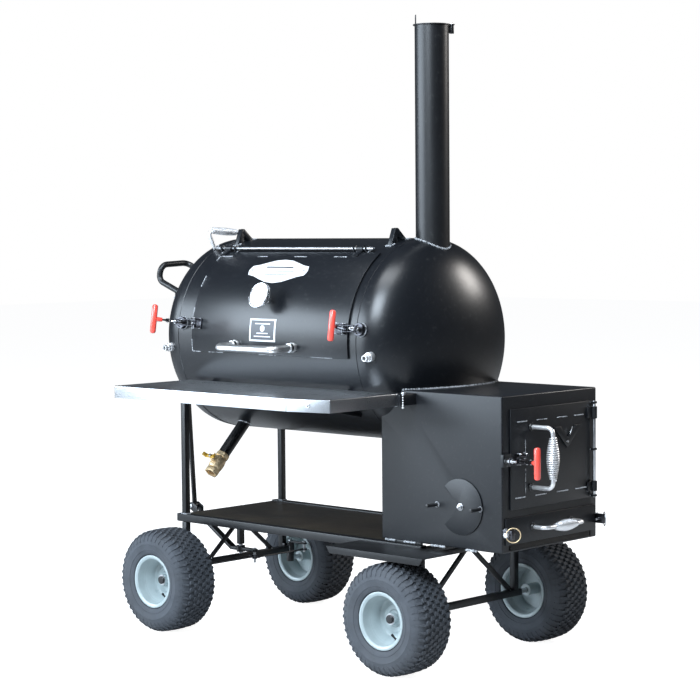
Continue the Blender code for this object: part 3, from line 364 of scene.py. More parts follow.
def bar(start, end, wide, deep, side=(0, 1, 0), edge=0.0015):
    """A straight rectangular bar: wide along the side direction, deep across it."""
    start, end = Vector(start), Vector(end)
    along = (end - start).normalized()
    side = (Vector(side) - Vector(side).dot(along) * along).normalized()
    bm = bmesh.new()
    bmesh.ops.create_cube(bm, size=1.0)
    bmesh.ops.scale(bm, vec=(wide, deep, (end - start).length), verts=bm.verts)
    ease(bm, bm.edges, edge)
    turn = Matrix((side, along.cross(side), along)).transposed().to_4x4()
    bm.transform(Matrix.Translation((start + end) / 2) @ turn)
    return clean(bm)


def plate(outline, low, high, axis="Z", edge=0.0008, steps=2):
    """Extrudes a closed outline. Its pairs are (y, z) for X, (x, z) for Y and (x, y) for Z."""
    spots = {
        "X": lambda a, b: (low, a, b),
        "Y": lambda a, b: (a, low, b),
        "Z": lambda a, b: (a, b, low),
    }[axis]
    step = {"X": (high - low, 0, 0), "Y": (0, high - low, 0), "Z": (0, 0, high - low)}[axis]
    bm = bmesh.new()
    face = bm.faces.new([bm.verts.new(spots(a, b)) for a, b in outline])
    grown = bmesh.ops.extrude_face_region(bm, geom=[face])["geom"]
    bmesh.ops.translate(bm, vec=step, verts=[v for v in grown if isinstance(v, bmesh.types.BMVert)])
    clean(bm)
    return clean(ease(bm, corners(bm, 40), edge, steps))


def turned(profile, origin=(0, 0, 0), axis=(0, 0, 1), steps=64, closed=False, wall=0.0):
    """Spins a profile of (radius, height) pairs. An open profile may be given a wall, inwards."""
    bm = bmesh.new()
    verts = [bm.verts.new((radius, 0, height)) for radius, height in profile]
    edges = [bm.edges.new(pair) for pair in zip(verts, verts[1:])]
    if closed:
        edges.append(bm.edges.new((verts[-1], verts[0])))
    bmesh.ops.spin(
        bm, geom=verts + edges, cent=(0, 0, 0), axis=(0, 0, 1), angle=2 * pi, steps=steps, use_merge=True
    )
    clean(bm)
    bm.transform(Matrix.Translation(origin) @ facing(axis))
    if wall:
        thicken(bm, wall, Vector(origin))
    return bm


def thicken(bm, wall, inside):
    """Gives an open skin a wall, towards the inside point."""
    bm.normal_update()
    face = max(bm.faces, key=lambda f: (f.calc_center_median() - inside).length)
    if face.normal.dot(face.calc_center_median() - inside) < 0:
        bmesh.ops.reverse_faces(bm, faces=bm.faces)
    bmesh.ops.solidify(bm, geom=bm.faces[:], thickness=wall)
    return bm


def arc(centre, radius, start, end, steps):
    angles = [radians(start + (end - start) * i / steps) for i in range(steps + 1)]
    return [(centre[0] + radius * cos(a), centre[1] + radius * sin(a)) for a in angles]


def bent(points, radius, bend, sides=20, steps=8):
    """Round bar along a path: a ring is pushed along each straight and spun round each bend."""
    points = [Vector(p) for p in points]
    bm = bmesh.new()
    ring = bmesh.ops.create_circle(bm, segments=sides, radius=radius)["verts"]
    bmesh.ops.transform(
        bm, matrix=Matrix.Translation(points[0]) @ facing(points[1] - points[0]), verts=ring
    )
    edges = list({e for v in ring for e in v.link_edges})
    first = list(edges)
    here = points[0]

    def push(edges, step):
        grown = bmesh.ops.extrude_edge_only(bm, edges=edges)["geom"]
        bmesh.ops.translate(bm, vec=step, verts=[g for g in grown if isinstance(g, bmesh.types.BMVert)])
        return [g for g in grown if isinstance(g, bmesh.types.BMEdge)]

    for before, corner, after in zip(points, points[1:], points[2:]):
        back, ahead = (before - corner).normalized(), (after - corner).normalized()
        half = back.angle(ahead) / 2
        start = corner + back * bend * cos(half) / sin(half)
        centre = corner + (back + ahead).normalized() * bend / sin(half)
        edges = push(edges, start - here)
        spun = bmesh.ops.spin(
            bm, geom=edges, cent=centre, axis=(-back).cross(ahead), angle=pi - 2 * half, steps=steps
        )["geom_last"]
        edges = [g for g in spun if isinstance(g, bmesh.types.BMEdge)]
        here = corner + ahead * bend * cos(half) / sin(half)
    edges = push(edges, points[-1] - here)
    bmesh.ops.contextual_create(bm, geom=first)
    bmesh.ops.contextual_create(bm, geom=edges)
    return clean(bm)


def spring(start, end, wire, turns, radii, steps=22, sides=8):
    """A wound wire grip. radii(share) is the winding's radius at a share of its length."""
    start, end = Vector(start), Vector(end)
    length = (end - start).length
    bm = bmesh.new()
    ring = bmesh.ops.create_circle(bm, segments=sides, radius=wire)["verts"]
    bmesh.ops.rotate(bm, cent=(0, 0, 0), matrix=Matrix.Rotation(pi / 2, 3, "X"), verts=ring)
    bmesh.ops.translate(bm, vec=(0.05, 0, 0), verts=ring)
    edges = list({e for v in ring for e in v.link_edges})
    total = int(turns * steps)
    last = bmesh.ops.spin(
        bm,
        geom=edges,
        cent=(0, 0, 0),
        axis=(0, 0, 1),
        dvec=(0, 0, length / total),
        angle=2 * pi * turns,
        steps=total,
    )["geom_last"]
    bmesh.ops.contextual_create(bm, geom=edges)
    bmesh.ops.contextual_create(bm, geom=[g for g in last if isinstance(g, bmesh.types.BMEdge)])
    for vert in bm.verts:
        flat = Vector((vert.co.x, vert.co.y, 0))
        move = radii(min(max(vert.co.z / length, 0), 1)) - 0.05
        vert.co += flat.normalized() * move
    bm.transform(Matrix.Translation(start) @ facing(end - start))
    return clean(bm)


def weld(points, size=0.0035, gap=0.0045):
    """A row of overlapping puddles along a path."""
    points = [Vector(p) for p in points]
    spots = [points[0]]
    for one, two in zip(points, points[1:]):
        count = max(1, int((two - one).length / gap))
        spots += [one.lerp(two, (i + 1) / count) for i in range(count)]
    bm = bmesh.new()
    for i, spot in enumerate(spots):
        swell = size * (1.0 + 0.18 * sin(i * 2.4))
        bmesh.ops.create_icosphere(bm, subdivisions=1, radius=swell, matrix=Matrix.Translation(spot))
    return bm


def carved(body, *tools):
    """Cuts tools out of a body, and leaves neither the tools nor the cut behind as live steps."""
    made = []
    for bm in (body, *tools):
        mesh = bpy.data.meshes.new("carving")
        bm.to_mesh(mesh)
        bm.free()
        made.append(bpy.data.objects.new("carving", mesh))
        bpy.context.scene.collection.objects.link(made[-1])
    for tool in made[1:]:
        cut = made[0].modifiers.new("cut", "BOOLEAN")
        cut.operation, cut.solver, cut.object = "DIFFERENCE", "EXACT", tool
    bpy.context.view_layer.update()
    graph = bpy.context.evaluated_depsgraph_get()
    result = bmesh.new()
    result.from_mesh(made[0].evaluated_get(graph).to_mesh())
    for obj in made:
        mesh = obj.data
        bpy.data.objects.remove(obj)
        bpy.data.meshes.remove(mesh)
    return result


def pour(bm, whole):
    """Adds a shape to a larger one, and frees it."""
    mesh = bpy.data.meshes.new("part")
    bm.to_mesh(mesh)
    bm.free()
    whole.from_mesh(mesh)
    bpy.data.meshes.remove(mesh)


class Piece:
    """One finished piece. Shapes are added with their finish, then it is set on its body."""

    def __init__(self, name):
        self.name, self.bm, self.finishes = name, bmesh.new(), []

    def add(self, finish, *shapes, place=None):
        if finish not in self.finishes:
            self.finishes.append(finish)
        for bm in shapes:
            for face in bm.faces:
                face.material_index = self.finishes.index(finish)
            if place:
                bm.transform(place)
            pour(bm, self.bm)
        return self

    def done(self, body, slot, *nodes, sharp=38):
        bmesh.ops.translate(self.bm, vec=SHIFT, verts=self.bm.verts)
        mesh = bpy.data.meshes.new(self.name)
        self.bm.to_mesh(mesh)
        self.bm.free()
        for finish in self.finishes:
            mesh.materials.append(finish)
        mesh.shade_smooth()
        mesh.set_sharp_from_angle(angle=radians(sharp))
        obj = bpy.data.objects.new(self.name, mesh)
        bpy.context.scene.collection.objects.link(obj)
        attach(obj, body)
        if nodes:
            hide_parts(*nodes)
        return obj


# ---------------------------------------------------------------- places on the tank
def on_tank(radius, degrees):
    angle = radians(degrees)
    return -radius * cos(angle), TANK_Z + radius * sin(angle)


def surface_frame(x, degrees, along=(1, 0, 0), radius=LID_OUTER + 0.0004):
    """A frame standing on the lid: its X runs along, its Z points out of the surface."""
    y, z = on_tank(radius, degrees)
    angle = radians(degrees)
    out, along = Vector((0, -cos(angle), sin(angle))), Vector(along)
    return Matrix.Translation((x, y, z)) @ Matrix((along, out.cross(along), out)).transposed().to_4x4()


def tank_radius_at(x):
    over = max(abs(x) - HEAD_START, 0) / HEAD_DEPTH
    return RADIUS * sqrt(max(0.0, 1 - over * over))


def on_top(x, y, lift=0.0):
    """The point of the tank's upper surface above (x, y)."""
    return Vector((x, y, TANK_Z + lift + sqrt(max(0.0, tank_radius_at(x) ** 2 - y * y))))


def curved_slab(inner, outer, low, high, x0, x1, steps=60, edge=0.0):
    """A slab bent round the tank's axis: its section is spun from the low angle to the high one."""
    bm = bmesh.new()
    spots = [(x0, inner), (x1, inner), (x1, outer), (x0, outer)]
    verts = [bm.verts.new((x, *on_tank(radius, low))) for x, radius in spots]
    first = [bm.edges.new((verts[i - 1], verts[i])) for i in range(4)]
    last = bmesh.ops.spin(
        bm, geom=first, cent=(0, 0, TANK_Z), axis=(-1, 0, 0), angle=radians(high - low), steps=steps
    )["geom_last"]
    bmesh.ops.contextual_create(bm, geom=first)
    bmesh.ops.contextual_create(bm, geom=[g for g in last if isinstance(g, bmesh.types.BMEdge)])
    clean(bm)
    return clean(ease(bm, corners(bm, 60), edge)) if edge else bm


def wrapped(bm, x, degrees, lift=0.0):
    """Bends a flat shape, drawn in XY with its front at +Z, onto the lid."""
    for i in range(-14, 15):
        whole = bm.verts[:] + bm.edges[:] + bm.faces[:]
        bmesh.ops.bisect_plane(bm, geom=whole, plane_co=(0, i * 0.006, 0), plane_no=(0, 1, 0))
    for vert in bm.verts:
        u, v, w = vert.co
        y, z = on_tank(LID_OUTER + lift + w, degrees + v / LID_OUTER * 180 / pi)
        vert.co = (x + u, y, z)
    return clean(bm)


# ---------------------------------------------------------------- cooking chamber
def strike_ring(x):
    """A short ring welded on for the clamp's tip to press on."""
    ring = [
        (0.0165, -0.008), (0.0235, -0.008), (0.0240, 0.0080), (0.0225, 0.0098), (0.0180, 0.0098),
        (0.0165, 0.0085),
    ]
    seat = [(0, 0.0010), (0.0170, 0.0010), (0.0170, 0.0055), (0, 0.0055)]
    place = surface_frame(x, 8.1)
    foot = [
        place @ Vector((0.0255 * cos(t * pi / 8), 0.0255 * sin(t * pi / 8), -0.0075)) for t in range(17)
    ]
    return (turned(ring, closed=True, steps=40), turned(seat, steps=32)), place, weld(foot, 0.0026, 0.004)


def bead_ring(x, radius, size=0.0016):
    """A girth weld: low, right round the tank."""
    profile = [
        (radius - 0.001, -0.005), (radius + size, -0.0022), (radius + size, 0.0022), (radius - 0.001, 0.005)
    ]
    bm = turned(profile, (x, 0, TANK_Z), (1, 0, 0), 300, closed=True)
    return bm


def build_tank():
    barrel = turned(
        [
            (RADIUS, JOINT_RIGHT),
            (RADIUS, JOINT_LEFT),
            (RADIUS - WALL, JOINT_LEFT),
            (RADIUS - WALL, JOINT_RIGHT),
        ],
        (0, 0, TANK_Z),
        (1, 0, 0),
        144,
        closed=True,
    )
    opening = curved_slab(
        0.33, 0.43, LID_LOW + 3.1, LID_HIGH - 2.5, LID_LEFT + 0.020, LID_RIGHT - 0.020, 40
    )
    bore = rod((STACK_X, 0, 1.30), (STACK_X, 0, 1.62), STACK_RADIUS - 0.004, sides=48)
    tank = Piece("tank_shell")
    tank.add(BLACK, carved(barrel, opening, bore))
    for x in (JOINT_LEFT, JOINT_RIGHT):
        tank.add(BLACK, bead_ring(x, RADIUS))
    rings, place, foot = strike_ring(LID_LEFT - 0.060)
    tank.add(ZINC, *rings, place=place).add(WELD, foot)
    for y in (-0.3275, 0.3275):
        tank.add(SOOT, block((-0.44, y - 0.0155, 1.008), (0.44, y + 0.0155, 1.014)))
    for x in (-0.330, 0.400):
        low, high = TABLE_HIGH.z - 0.032, TABLE_HIGH.z - 0.0024
        tank.add(FRAME_BLACK, block((x - 0.003, -0.700, low), (x + 0.003, -0.330, high), 0.0008))
        tank.add(
            FRAME_BLACK,
            bar((x, -0.620, high - 0.024), (x, -0.270, 0.9045), 0.0058, 0.022, (1, 0, 0), 0.0008),
        )
        tank.add(WELD, weld([(x - 0.004, -0.300, 0.934), (x - 0.004, -0.262, 0.900)], 0.003))
    tank.done("frame", "black_paint", "tank_barrel")

    for name, side, joint in (("left", -1, JOINT_LEFT), ("right", 1, JOINT_RIGHT)):
        outer, inner = [], []
        for i in range(25):
            turn = pi / 2 * i / 24
            outer.append((max(RADIUS * cos(turn), 0), side * (HEAD_START + HEAD_DEPTH * sin(turn))))
            inner.append(
                (max((RADIUS - WALL) * cos(turn), 0), side * (HEAD_START + (HEAD_DEPTH - WALL) * sin(turn)))
            )
        outer[-1], inner[-1] = (0, outer[-1][1]), (0, inner[-1][1])
        profile = [(RADIUS - WALL, joint), (RADIUS, joint), *outer, *inner[::-1]]
        dome = turned(profile, (0, 0, TANK_Z), (1, 0, 0), 144, closed=True)
        head = Piece(f"tank_dome_{name}")
        if side > 0:
            throat = block((0.515, -0.15, 0.85), (0.74, 0.15, 0.985), 0)
            head.add(
                BLACK,
                carved(
                    dome,
                    throat,
                    rod((STACK_X, 0, 1.30), (STACK_X, 0, 1.62), STACK_RADIUS - 0.004, sides=48),
                ),
            )
            rings, place, foot = strike_ring(LID_RIGHT + 0.060)
            head.add(ZINC, *rings, place=place).add(WELD, foot)
        else:
            head.add(BLACK, dome)
        head.done("frame", "black_paint", f"tank_head_{name}")


def build_stack():
    pipe = turned(
        [
            (STACK_RADIUS, 1.485),
            (STACK_RADIUS, STACK_TOP),
            (STACK_RADIUS - 0.004, STACK_TOP),
            (STACK_RADIUS - 0.004, 1.485),
        ],
        (STACK_X, 0, 0),
        steps=96,
        closed=True,
    )
    right, across = Vector((0.726, 0.688, 0.0)), (0.688, -0.726, 0)
    centre, up = Vector((STACK_X, 0, 0)), Vector((0, 0, 1))
    pivot = centre + right * (STACK_RADIUS + 0.010)
    stack = Piece("stack_tube").add(STACK_BLACK, pipe)
    stack.add(
        STACK_BLACK,
        bar(
            centre + right * (STACK_RADIUS - 0.002) + up * (STACK_TOP - 0.015),
            pivot + up * (STACK_TOP - 0.015),
            0.012,
            0.024,
            across,
        ),
    )
    stack.add(STACK_BLACK, rod(pivot + up * (STACK_TOP - 0.030), pivot + up * STACK_TOP, 0.0090, 0.001))
    stack.add(PIN, rod(pivot + up * (STACK_TOP - 0.02), pivot + up * (STACK_TOP + 0.010), 0.0040, 0.0008))
    saddle = []
    for i in range(65):
        turn = 2 * pi * i / 64
        saddle.append(
            on_top(STACK_X + (STACK_RADIUS + 0.002) * cos(turn), (STACK_RADIUS + 0.002) * sin(turn), 0.001)
        )
    stack.add(WELD, weld(saddle, 0.0040, 0.0050))
    stack.done("frame", "black_paint", "stack_pipe")

    low, high = STACK_TOP + 0.0004, STACK_TOP + 0.0044
    cap = Piece("stack_flap")
    cap.add(STACK_BLACK, rod(centre + up * low, centre + up * high, STACK_RADIUS + 0.006, 0.0008, 72))
    cap.add(STACK_BLACK, rod(pivot + up * (low + 0.0005), pivot + up * (high + 0.0004), 0.0120, 0.0006))
    foot = centre - right * (STACK_RADIUS - 0.004) + up * (high - 0.001)
    cap.add(STACK_BLACK, bar(foot, foot + up * 0.036, 0.026, 0.004, across, 0.0014))
    cap.add(
        WELD,
        weld(
            [foot + right * 0.003 - Vector(across) * 0.011, foot + right * 0.003 + Vector(across) * 0.011],
            0.002,
        ),
    )
    cap.done("stack_cap", "black_paint", "stack_cap")


def build_inside():
    grate = Piece("cooking_grid")
    for y in (-0.329, -0.11, 0.11, 0.329):
        grate.add(GRATE, block((-0.43, y - 0.004, 1.0145), (0.43, y + 0.004, 1.0205), 0.0008))
    for i in range(44):
        x = -0.427 + 0.854 * i / 43
        grate.add(GRATE, rod((x, -0.332, 1.0205), (x, 0.332, 1.0205), 0.0030, sides=8))
    grate.done("frame", "bare_steel", "cooking_grate", "heat_deflector")
    baffle = Piece("baffle_plate").add(SOOT, block((-0.40, -0.2565, 0.900), (0.46, 0.2565, 0.903), 0.0006))
    baffle.done("frame", "bare_steel")
    fire = Piece("log_grate")
    for i in range(8):
        y = -0.245 + 0.49 * i / 7
        fire.add(GRATE, block((0.535, y - 0.006, 0.600), (1.045, y + 0.006, 0.612), 0.0012))
    for x in (0.560, 1.020):
        fire.add(GRATE, block((x - 0.006, -0.253, 0.5995), (x + 0.006, 0.253, 0.6105), 0.0012))
    fire.done("frame", "bare_steel", "fire_grate")


def build_drain():
    lower = Vector((-0.353, -0.264, 0.7035))
    upper = lower + Vector((0, 0.17, 0.17))
    along = (lower - upper).normalized()
    out = Vector((0, -sin(pi / 4), sin(pi / 4)))
    tube = turned(
        [(0.0235, 0.045), (0.0235, 0.2404), (0.0195, 0.2404), (0.0195, 0.045)],
        upper,
        along,
        48,
        closed=True,
    )
    pipe = Piece("drain_tube").add(FRAME_BLACK, tube)
    collar = []
    for i in range(33):
        turn = 2 * pi * i / 32
        spot = lower + out * 0.0245 * cos(turn) + Vector((0.0245 * sin(turn), 0, 0))
        step = -along
        low, high = 0.0, 0.24
        for _ in range(24):
            middle = (low + high) / 2
            here = spot + step * middle
            inside = here.y**2 + (here.z - TANK_Z) ** 2 < RADIUS**2
            low, high = (low, middle) if inside else (middle, high)
        collar.append(spot + step * low)
    pipe.add(WELD, weld(collar, 0.0032, 0.0042))
    pipe.done("frame", "black_paint", "drain_pipe")

    start = lower + along * 0.0004
    body = turned(
        [
            (0.0195, 0.0), (0.0225, 0.0), (0.0225, 0.020), (0.0262, 0.027), (0.0282, 0.040), (0.0286, 0.050),
            (0.0282, 0.060), (0.0262, 0.073), (0.0225, 0.078), (0.0225, 0.098), (0.0195, 0.098), (0.0195, 0.078),
            (0.0200, 0.066), (0.0200, 0.034),
        ],
        start, along, 48, closed=True,
    )  # fmt: skip
    valve = Piece("drain_ball_valve").add(BRASS, body)
    for low, high in ((0.0, 0.021), (0.076, 0.098)):
        nut = rod(start + along * low, start + along * high, 0.0290, 0.0022, 6)
        valve.add(
            BRASS,
            carved(nut, rod(start + along * (low - 0.01), start + along * (high + 0.01), 0.0197, sides=32)),
        )
    middle = start + along * 0.050
    valve.add(BRASS, rod(middle + out * 0.0225, middle + out * 0.036, 0.0110, 0.001, 6))
    valve.add(BRASS, rod(middle + out * 0.034, middle + out * 0.042, 0.0085, 0.001, 24))
    valve.done("frame", "brass", "drain_valve_body")

    across = out.cross(Vector((1, 0, 0)))
    span = Vector((0.033, 0, 0))
    lever = Piece("drain_butterfly")
    lever.add(PIN, rod(middle + out * 0.036, middle + out * 0.053, 0.0045, 0.0008))
    lever.add(PIN, rod(middle + out * 0.0505, middle + out * 0.0560, 0.0075, 0.0010, 6))
    lever.add(
        YELLOW,
        bar(
            middle + out * 0.049 - span * 0.8,
            middle + out * 0.049 + span * 0.8,
            0.017,
            0.0032,
            across,
            0.0012,
        ),
    )
    for side in (-1, 1):
        root = middle + out * 0.0485 + side * 0.62 * span
        lever.add(YELLOW, bar(root, middle + out * 0.064 + side * span, 0.0165, 0.0032, across, 0.0012))
    ball = bmesh.new()
    bmesh.ops.create_uvsphere(
        ball, u_segments=28, v_segments=16, radius=0.0128, matrix=Matrix.Translation(middle)
    )
    lever.add(PIN, carved(ball, rod(middle - along * 0.03, middle + along * 0.03, 0.0085)))
    lever.done("drain_valve_lever", "yellow_vinyl", "drain_valve_lever")


# ---------------------------------------------------------------- lid
def build_lid():
    y, z = on_tank(HINGE_RADIUS, HINGE_ANGLE)
    hinge = Piece("hinge_bar").add(PIN, rod((-0.455, y, z), (0.400, y, z), 0.006, 0.0012))
    for x in (-0.4175, -0.341, 0.303, 0.3645):
        shape = [(0.372, -2.4), (0.4035, -1.4), (0.4035, 1.4), (0.372, 2.4)]
        hinge.add(
            BLACK, plate([on_tank(r, HINGE_ANGLE + t) for r, t in shape], x - 0.0025, x + 0.0025, "X")
        )
        foot = [(x + 0.004, *on_tank(RADIUS + 0.001, HINGE_ANGLE + t)) for t in (-2.2, 2.2)]
        hinge.add(WELD, weld(foot, 0.0026, 0.004))
    hinge.done("frame", "black_paint", "lid_hinge_rod")

    lid = Piece("lid_skin")
    lid.add(BLACK, curved_slab(LID_INNER, LID_OUTER, LID_LOW, LID_HIGH, LID_LEFT, LID_RIGHT, 90, 0.0012))
    for x in (-0.379, 0.334):
        knuckle = turned(
            [(0.0115, -0.016), (0.0115, 0.016), (0.0068, 0.016), (0.0068, -0.016)],
            (x, y, z),
            (1, 0, 0),
            32,
            closed=True,
        )
        strap = curved_slab(
            LID_OUTER - 0.002, LID_OUTER + 0.005, LID_HIGH - 4.2, HINGE_ANGLE - 0.9, x - 0.014, x + 0.014,
            6, 0.001,
        )
        lid.add(BLACK, knuckle, strap)
    stitches = ((50.0, 57.4), (30.6, 37.5), (11.0, 17.2), (-7.6, -1.2))
    for low, high in stitches:
        spots = [
            (LID_LEFT + 0.0005, *on_tank(LID_OUTER - 0.0005, low + (high - low) * i / 6)) for i in range(7)
        ]
        lid.add(WELD, weld(spots, 0.0022, 0.0034))
    bottom = on_tank(LID_OUTER - 0.0005, LID_LOW + 0.1)
    lid.add(WELD, weld([(LID_LEFT + 0.002, *bottom), (LID_LEFT + 0.045, *bottom)], 0.0020, 0.0034))
    for start, end in ((-0.384, -0.324), (-0.180, -0.128), (0.022, 0.084), (0.232, 0.294)):
        spot = on_tank(LID_OUTER + 0.0002, 53.6)
        lid.add(WELD, weld([(start, *spot), (end, *spot)], 0.0019, 0.0034))
    for start, end in ((-0.30, -0.22), (-0.02, 0.07), (0.25, 0.36)):
        lid.add(WELD, weld([(start, *bottom), (end, *bottom)], 0.0016, 0.0034))
    lid.done("lid", "black_paint", "lid_panel")

    place = surface_frame(0.014, -3.0)
    handle = Piece("lid_pull")
    half = 0.154
    handle.add(
        TUBE,
        bent(
            [(-half, 0, 0.004), (-half, 0, 0.110), (half, 0, 0.110), (half, 0, 0.004)], 0.014, 0.036, 28, 12
        ),
        place=place,
    )
    for side in (-1, 1):
        x = side * half
        cup = [
            (0, 0), (0.0185, 0), (0.0190, 0.002), (0.0190, 0.009), (0.0175, 0.0115), (0.0142, 0.0120),
            (0, 0.0120),
        ]
        handle.add(TUBE, turned(cup, (x, 0, 0), steps=40), place=place)
        band = [(0.0141, 0.013), (0.0165, 0.0135), (0.0168, 0.020), (0.0141, 0.021)]
        handle.add(HUB, turned(band, (x, 0, 0), steps=40, closed=True), place=place)
        collar = [(0.0141, 0.022), (0.0172, 0.0225), (0.0172, 0.027), (0.0141, 0.028)]
        handle.add(TUBE, turned(collar, (x, 0, 0), steps=40, closed=True), place=place)
    handle.done("lid", "stainless", "lid_handle")

    gauge = Piece("lid_thermometer")
    place = surface_frame(0.015, 22.5)
    gauge.add(GLASS, rod((0, 0, 0), (0, 0, 0.014), 0.0135, 0.0015, 6), place=place)
    gauge.add(GLASS, rod((0, 0, 0.012), (0, 0, 0.050), 0.0068), place=place)
    gauge.add(GLASS, rod((0, 0, 0.036), (0, 0, 0.047), 0.0125, 0.0012, 6), place=place)
    shell = [
        (0, 0.0465), (0.030, 0.0465), (0.0455, 0.0480), (0.0490, 0.0515), (0.0500, 0.0560), (0.0500, 0.0625)
    ]
    shell += [(0.0490, 0.0645), (0.0465, 0.0650), (0.0445, 0.0640), (0.0435, 0.0612), (0, 0.0612)]
    gauge.add(GLASS, turned(shell, steps=72), place=place)
    for i in range(48):
        turn = 2 * pi * i / 48
        rib = rod((0.0499, 0, 0.0535), (0.0499, 0, 0.0610), 0.0008, sides=5)
        gauge.add(GLASS, rib, place=place @ Matrix.Rotation(turn, 4, "Z"))
    gauge.add(
        DIAL, turned([(0, 0.0613), (0.0430, 0.0613), (0.0430, 0.0620), (0, 0.0620)], steps=64), place=place
    )
    groove = [(0.0262, 0.0619), (0.0262, 0.0624), (0.0274, 0.0624), (0.0274, 0.0619)]
    gauge.add(INK, turned(groove, steps=64, closed=True), place=place)
    for i in range(31):
        long = i % 5 == 0
        mark = block(
            (-0.0006 if long else -0.0003, 0.0325 if long else 0.0360, 0.0619),
            (0.0006 if long else 0.0003, 0.0395, 0.0623),
            0,
        )
        gauge.add(DIAL_MARKS_AND_SOCKET_SHADE, mark, place=place @ Matrix.Rotation(radians(140 - i * 280 / 30), 4, "Z"))
    needle = plate(
        [(-0.0012, -0.008), (0.0012, -0.008), (0.0006, 0.030), (-0.0006, 0.030)], 0.0630, 0.0636, edge=0
    )
    gauge.add(DIAL_MARKS_AND_SOCKET_SHADE, needle, place=place @ Matrix.Rotation(radians(-38), 4, "Z"))
    gauge.add(GLASS, rod((0, 0, 0.0620), (0, 0, 0.0645), 0.0030, 0.0006), place=place)
    gauge.done("lid", "bright_plate", "thermometer")

    badge = Piece("lid_badge")
    outline = [
        (-0.150, -0.022), (-0.158, 0.0), (-0.150, 0.022), (-0.118, 0.028), (-0.084, 0.040), (-0.044, 0.053), (0.0, 0.058),
        (0.044, 0.053), (0.084, 0.040), (0.118, 0.028), (0.150, 0.022), (0.158, 0.0), (0.150, -0.022), (0.118, -0.028),
        (0.084, -0.040), (0.044, -0.053), (0.0, -0.058), (-0.044, -0.053), (-0.084, -0.040), (-0.118, -0.028),
    ]  # fmt: skip
    badge.add(PLATE, wrapped(plate(outline, 0.0, 0.0020, edge=0.0005), -0.009, 42.0))
    for v, half in ((0.016, 0.072), (-0.004, 0.088), (-0.020, 0.064), (-0.036, 0.040)):
        thick = 0.0032 if v == 0.016 else 0.0012
        badge.add(
            INK, wrapped(block((-half, v - thick, 0.0018), (half, v + thick, 0.0023), 0), -0.009, 42.0)
        )
    for side in (-1, 1):
        badge.add(
            PIN,
            rod((side * 0.138, 0, 0.0015), (side * 0.138, 0, 0.0036), 0.0040, 0.001),
            place=surface_frame(-0.009, 42.0, radius=LID_OUTER),
        )
    badge.done("lid", "bright_plate")

    label = Piece("data_plate")
    half_x, half_y = 0.070, 0.0432
    label.add(PLATE, wrapped(block((-half_x, -half_y, 0.0), (half_x, half_y, 0.0012), 0.0004), 0.0015, 5.7))
    label.add(
        INK,
        wrapped(
            block((-half_x + 0.008, -half_y + 0.007, 0.001), (half_x - 0.008, half_y - 0.007, 0.0015), 0),
            0.0015,
            5.7,
        ),
    )
    for v, half in ((0.024, 0.040), (-0.012, 0.030), (-0.024, 0.044)):
        label.add(
            PLATE, wrapped(block((-half, v - 0.0020, 0.0013), (half, v + 0.0020, 0.0018), 0), 0.0015, 5.7)
        )
    disc = rod((0, 0.006, 0.0013), (0, 0.006, 0.0018), 0.012)
    label.add(PLATE, wrapped(disc, 0.0015, 5.7))
    label.done("lid", "bright_plate")


# ---------------------------------------------------------------- toggle clamps
REACH, GRIP_HEIGHT, GRIP_RADIUS = 0.060, 0.146, 0.0115


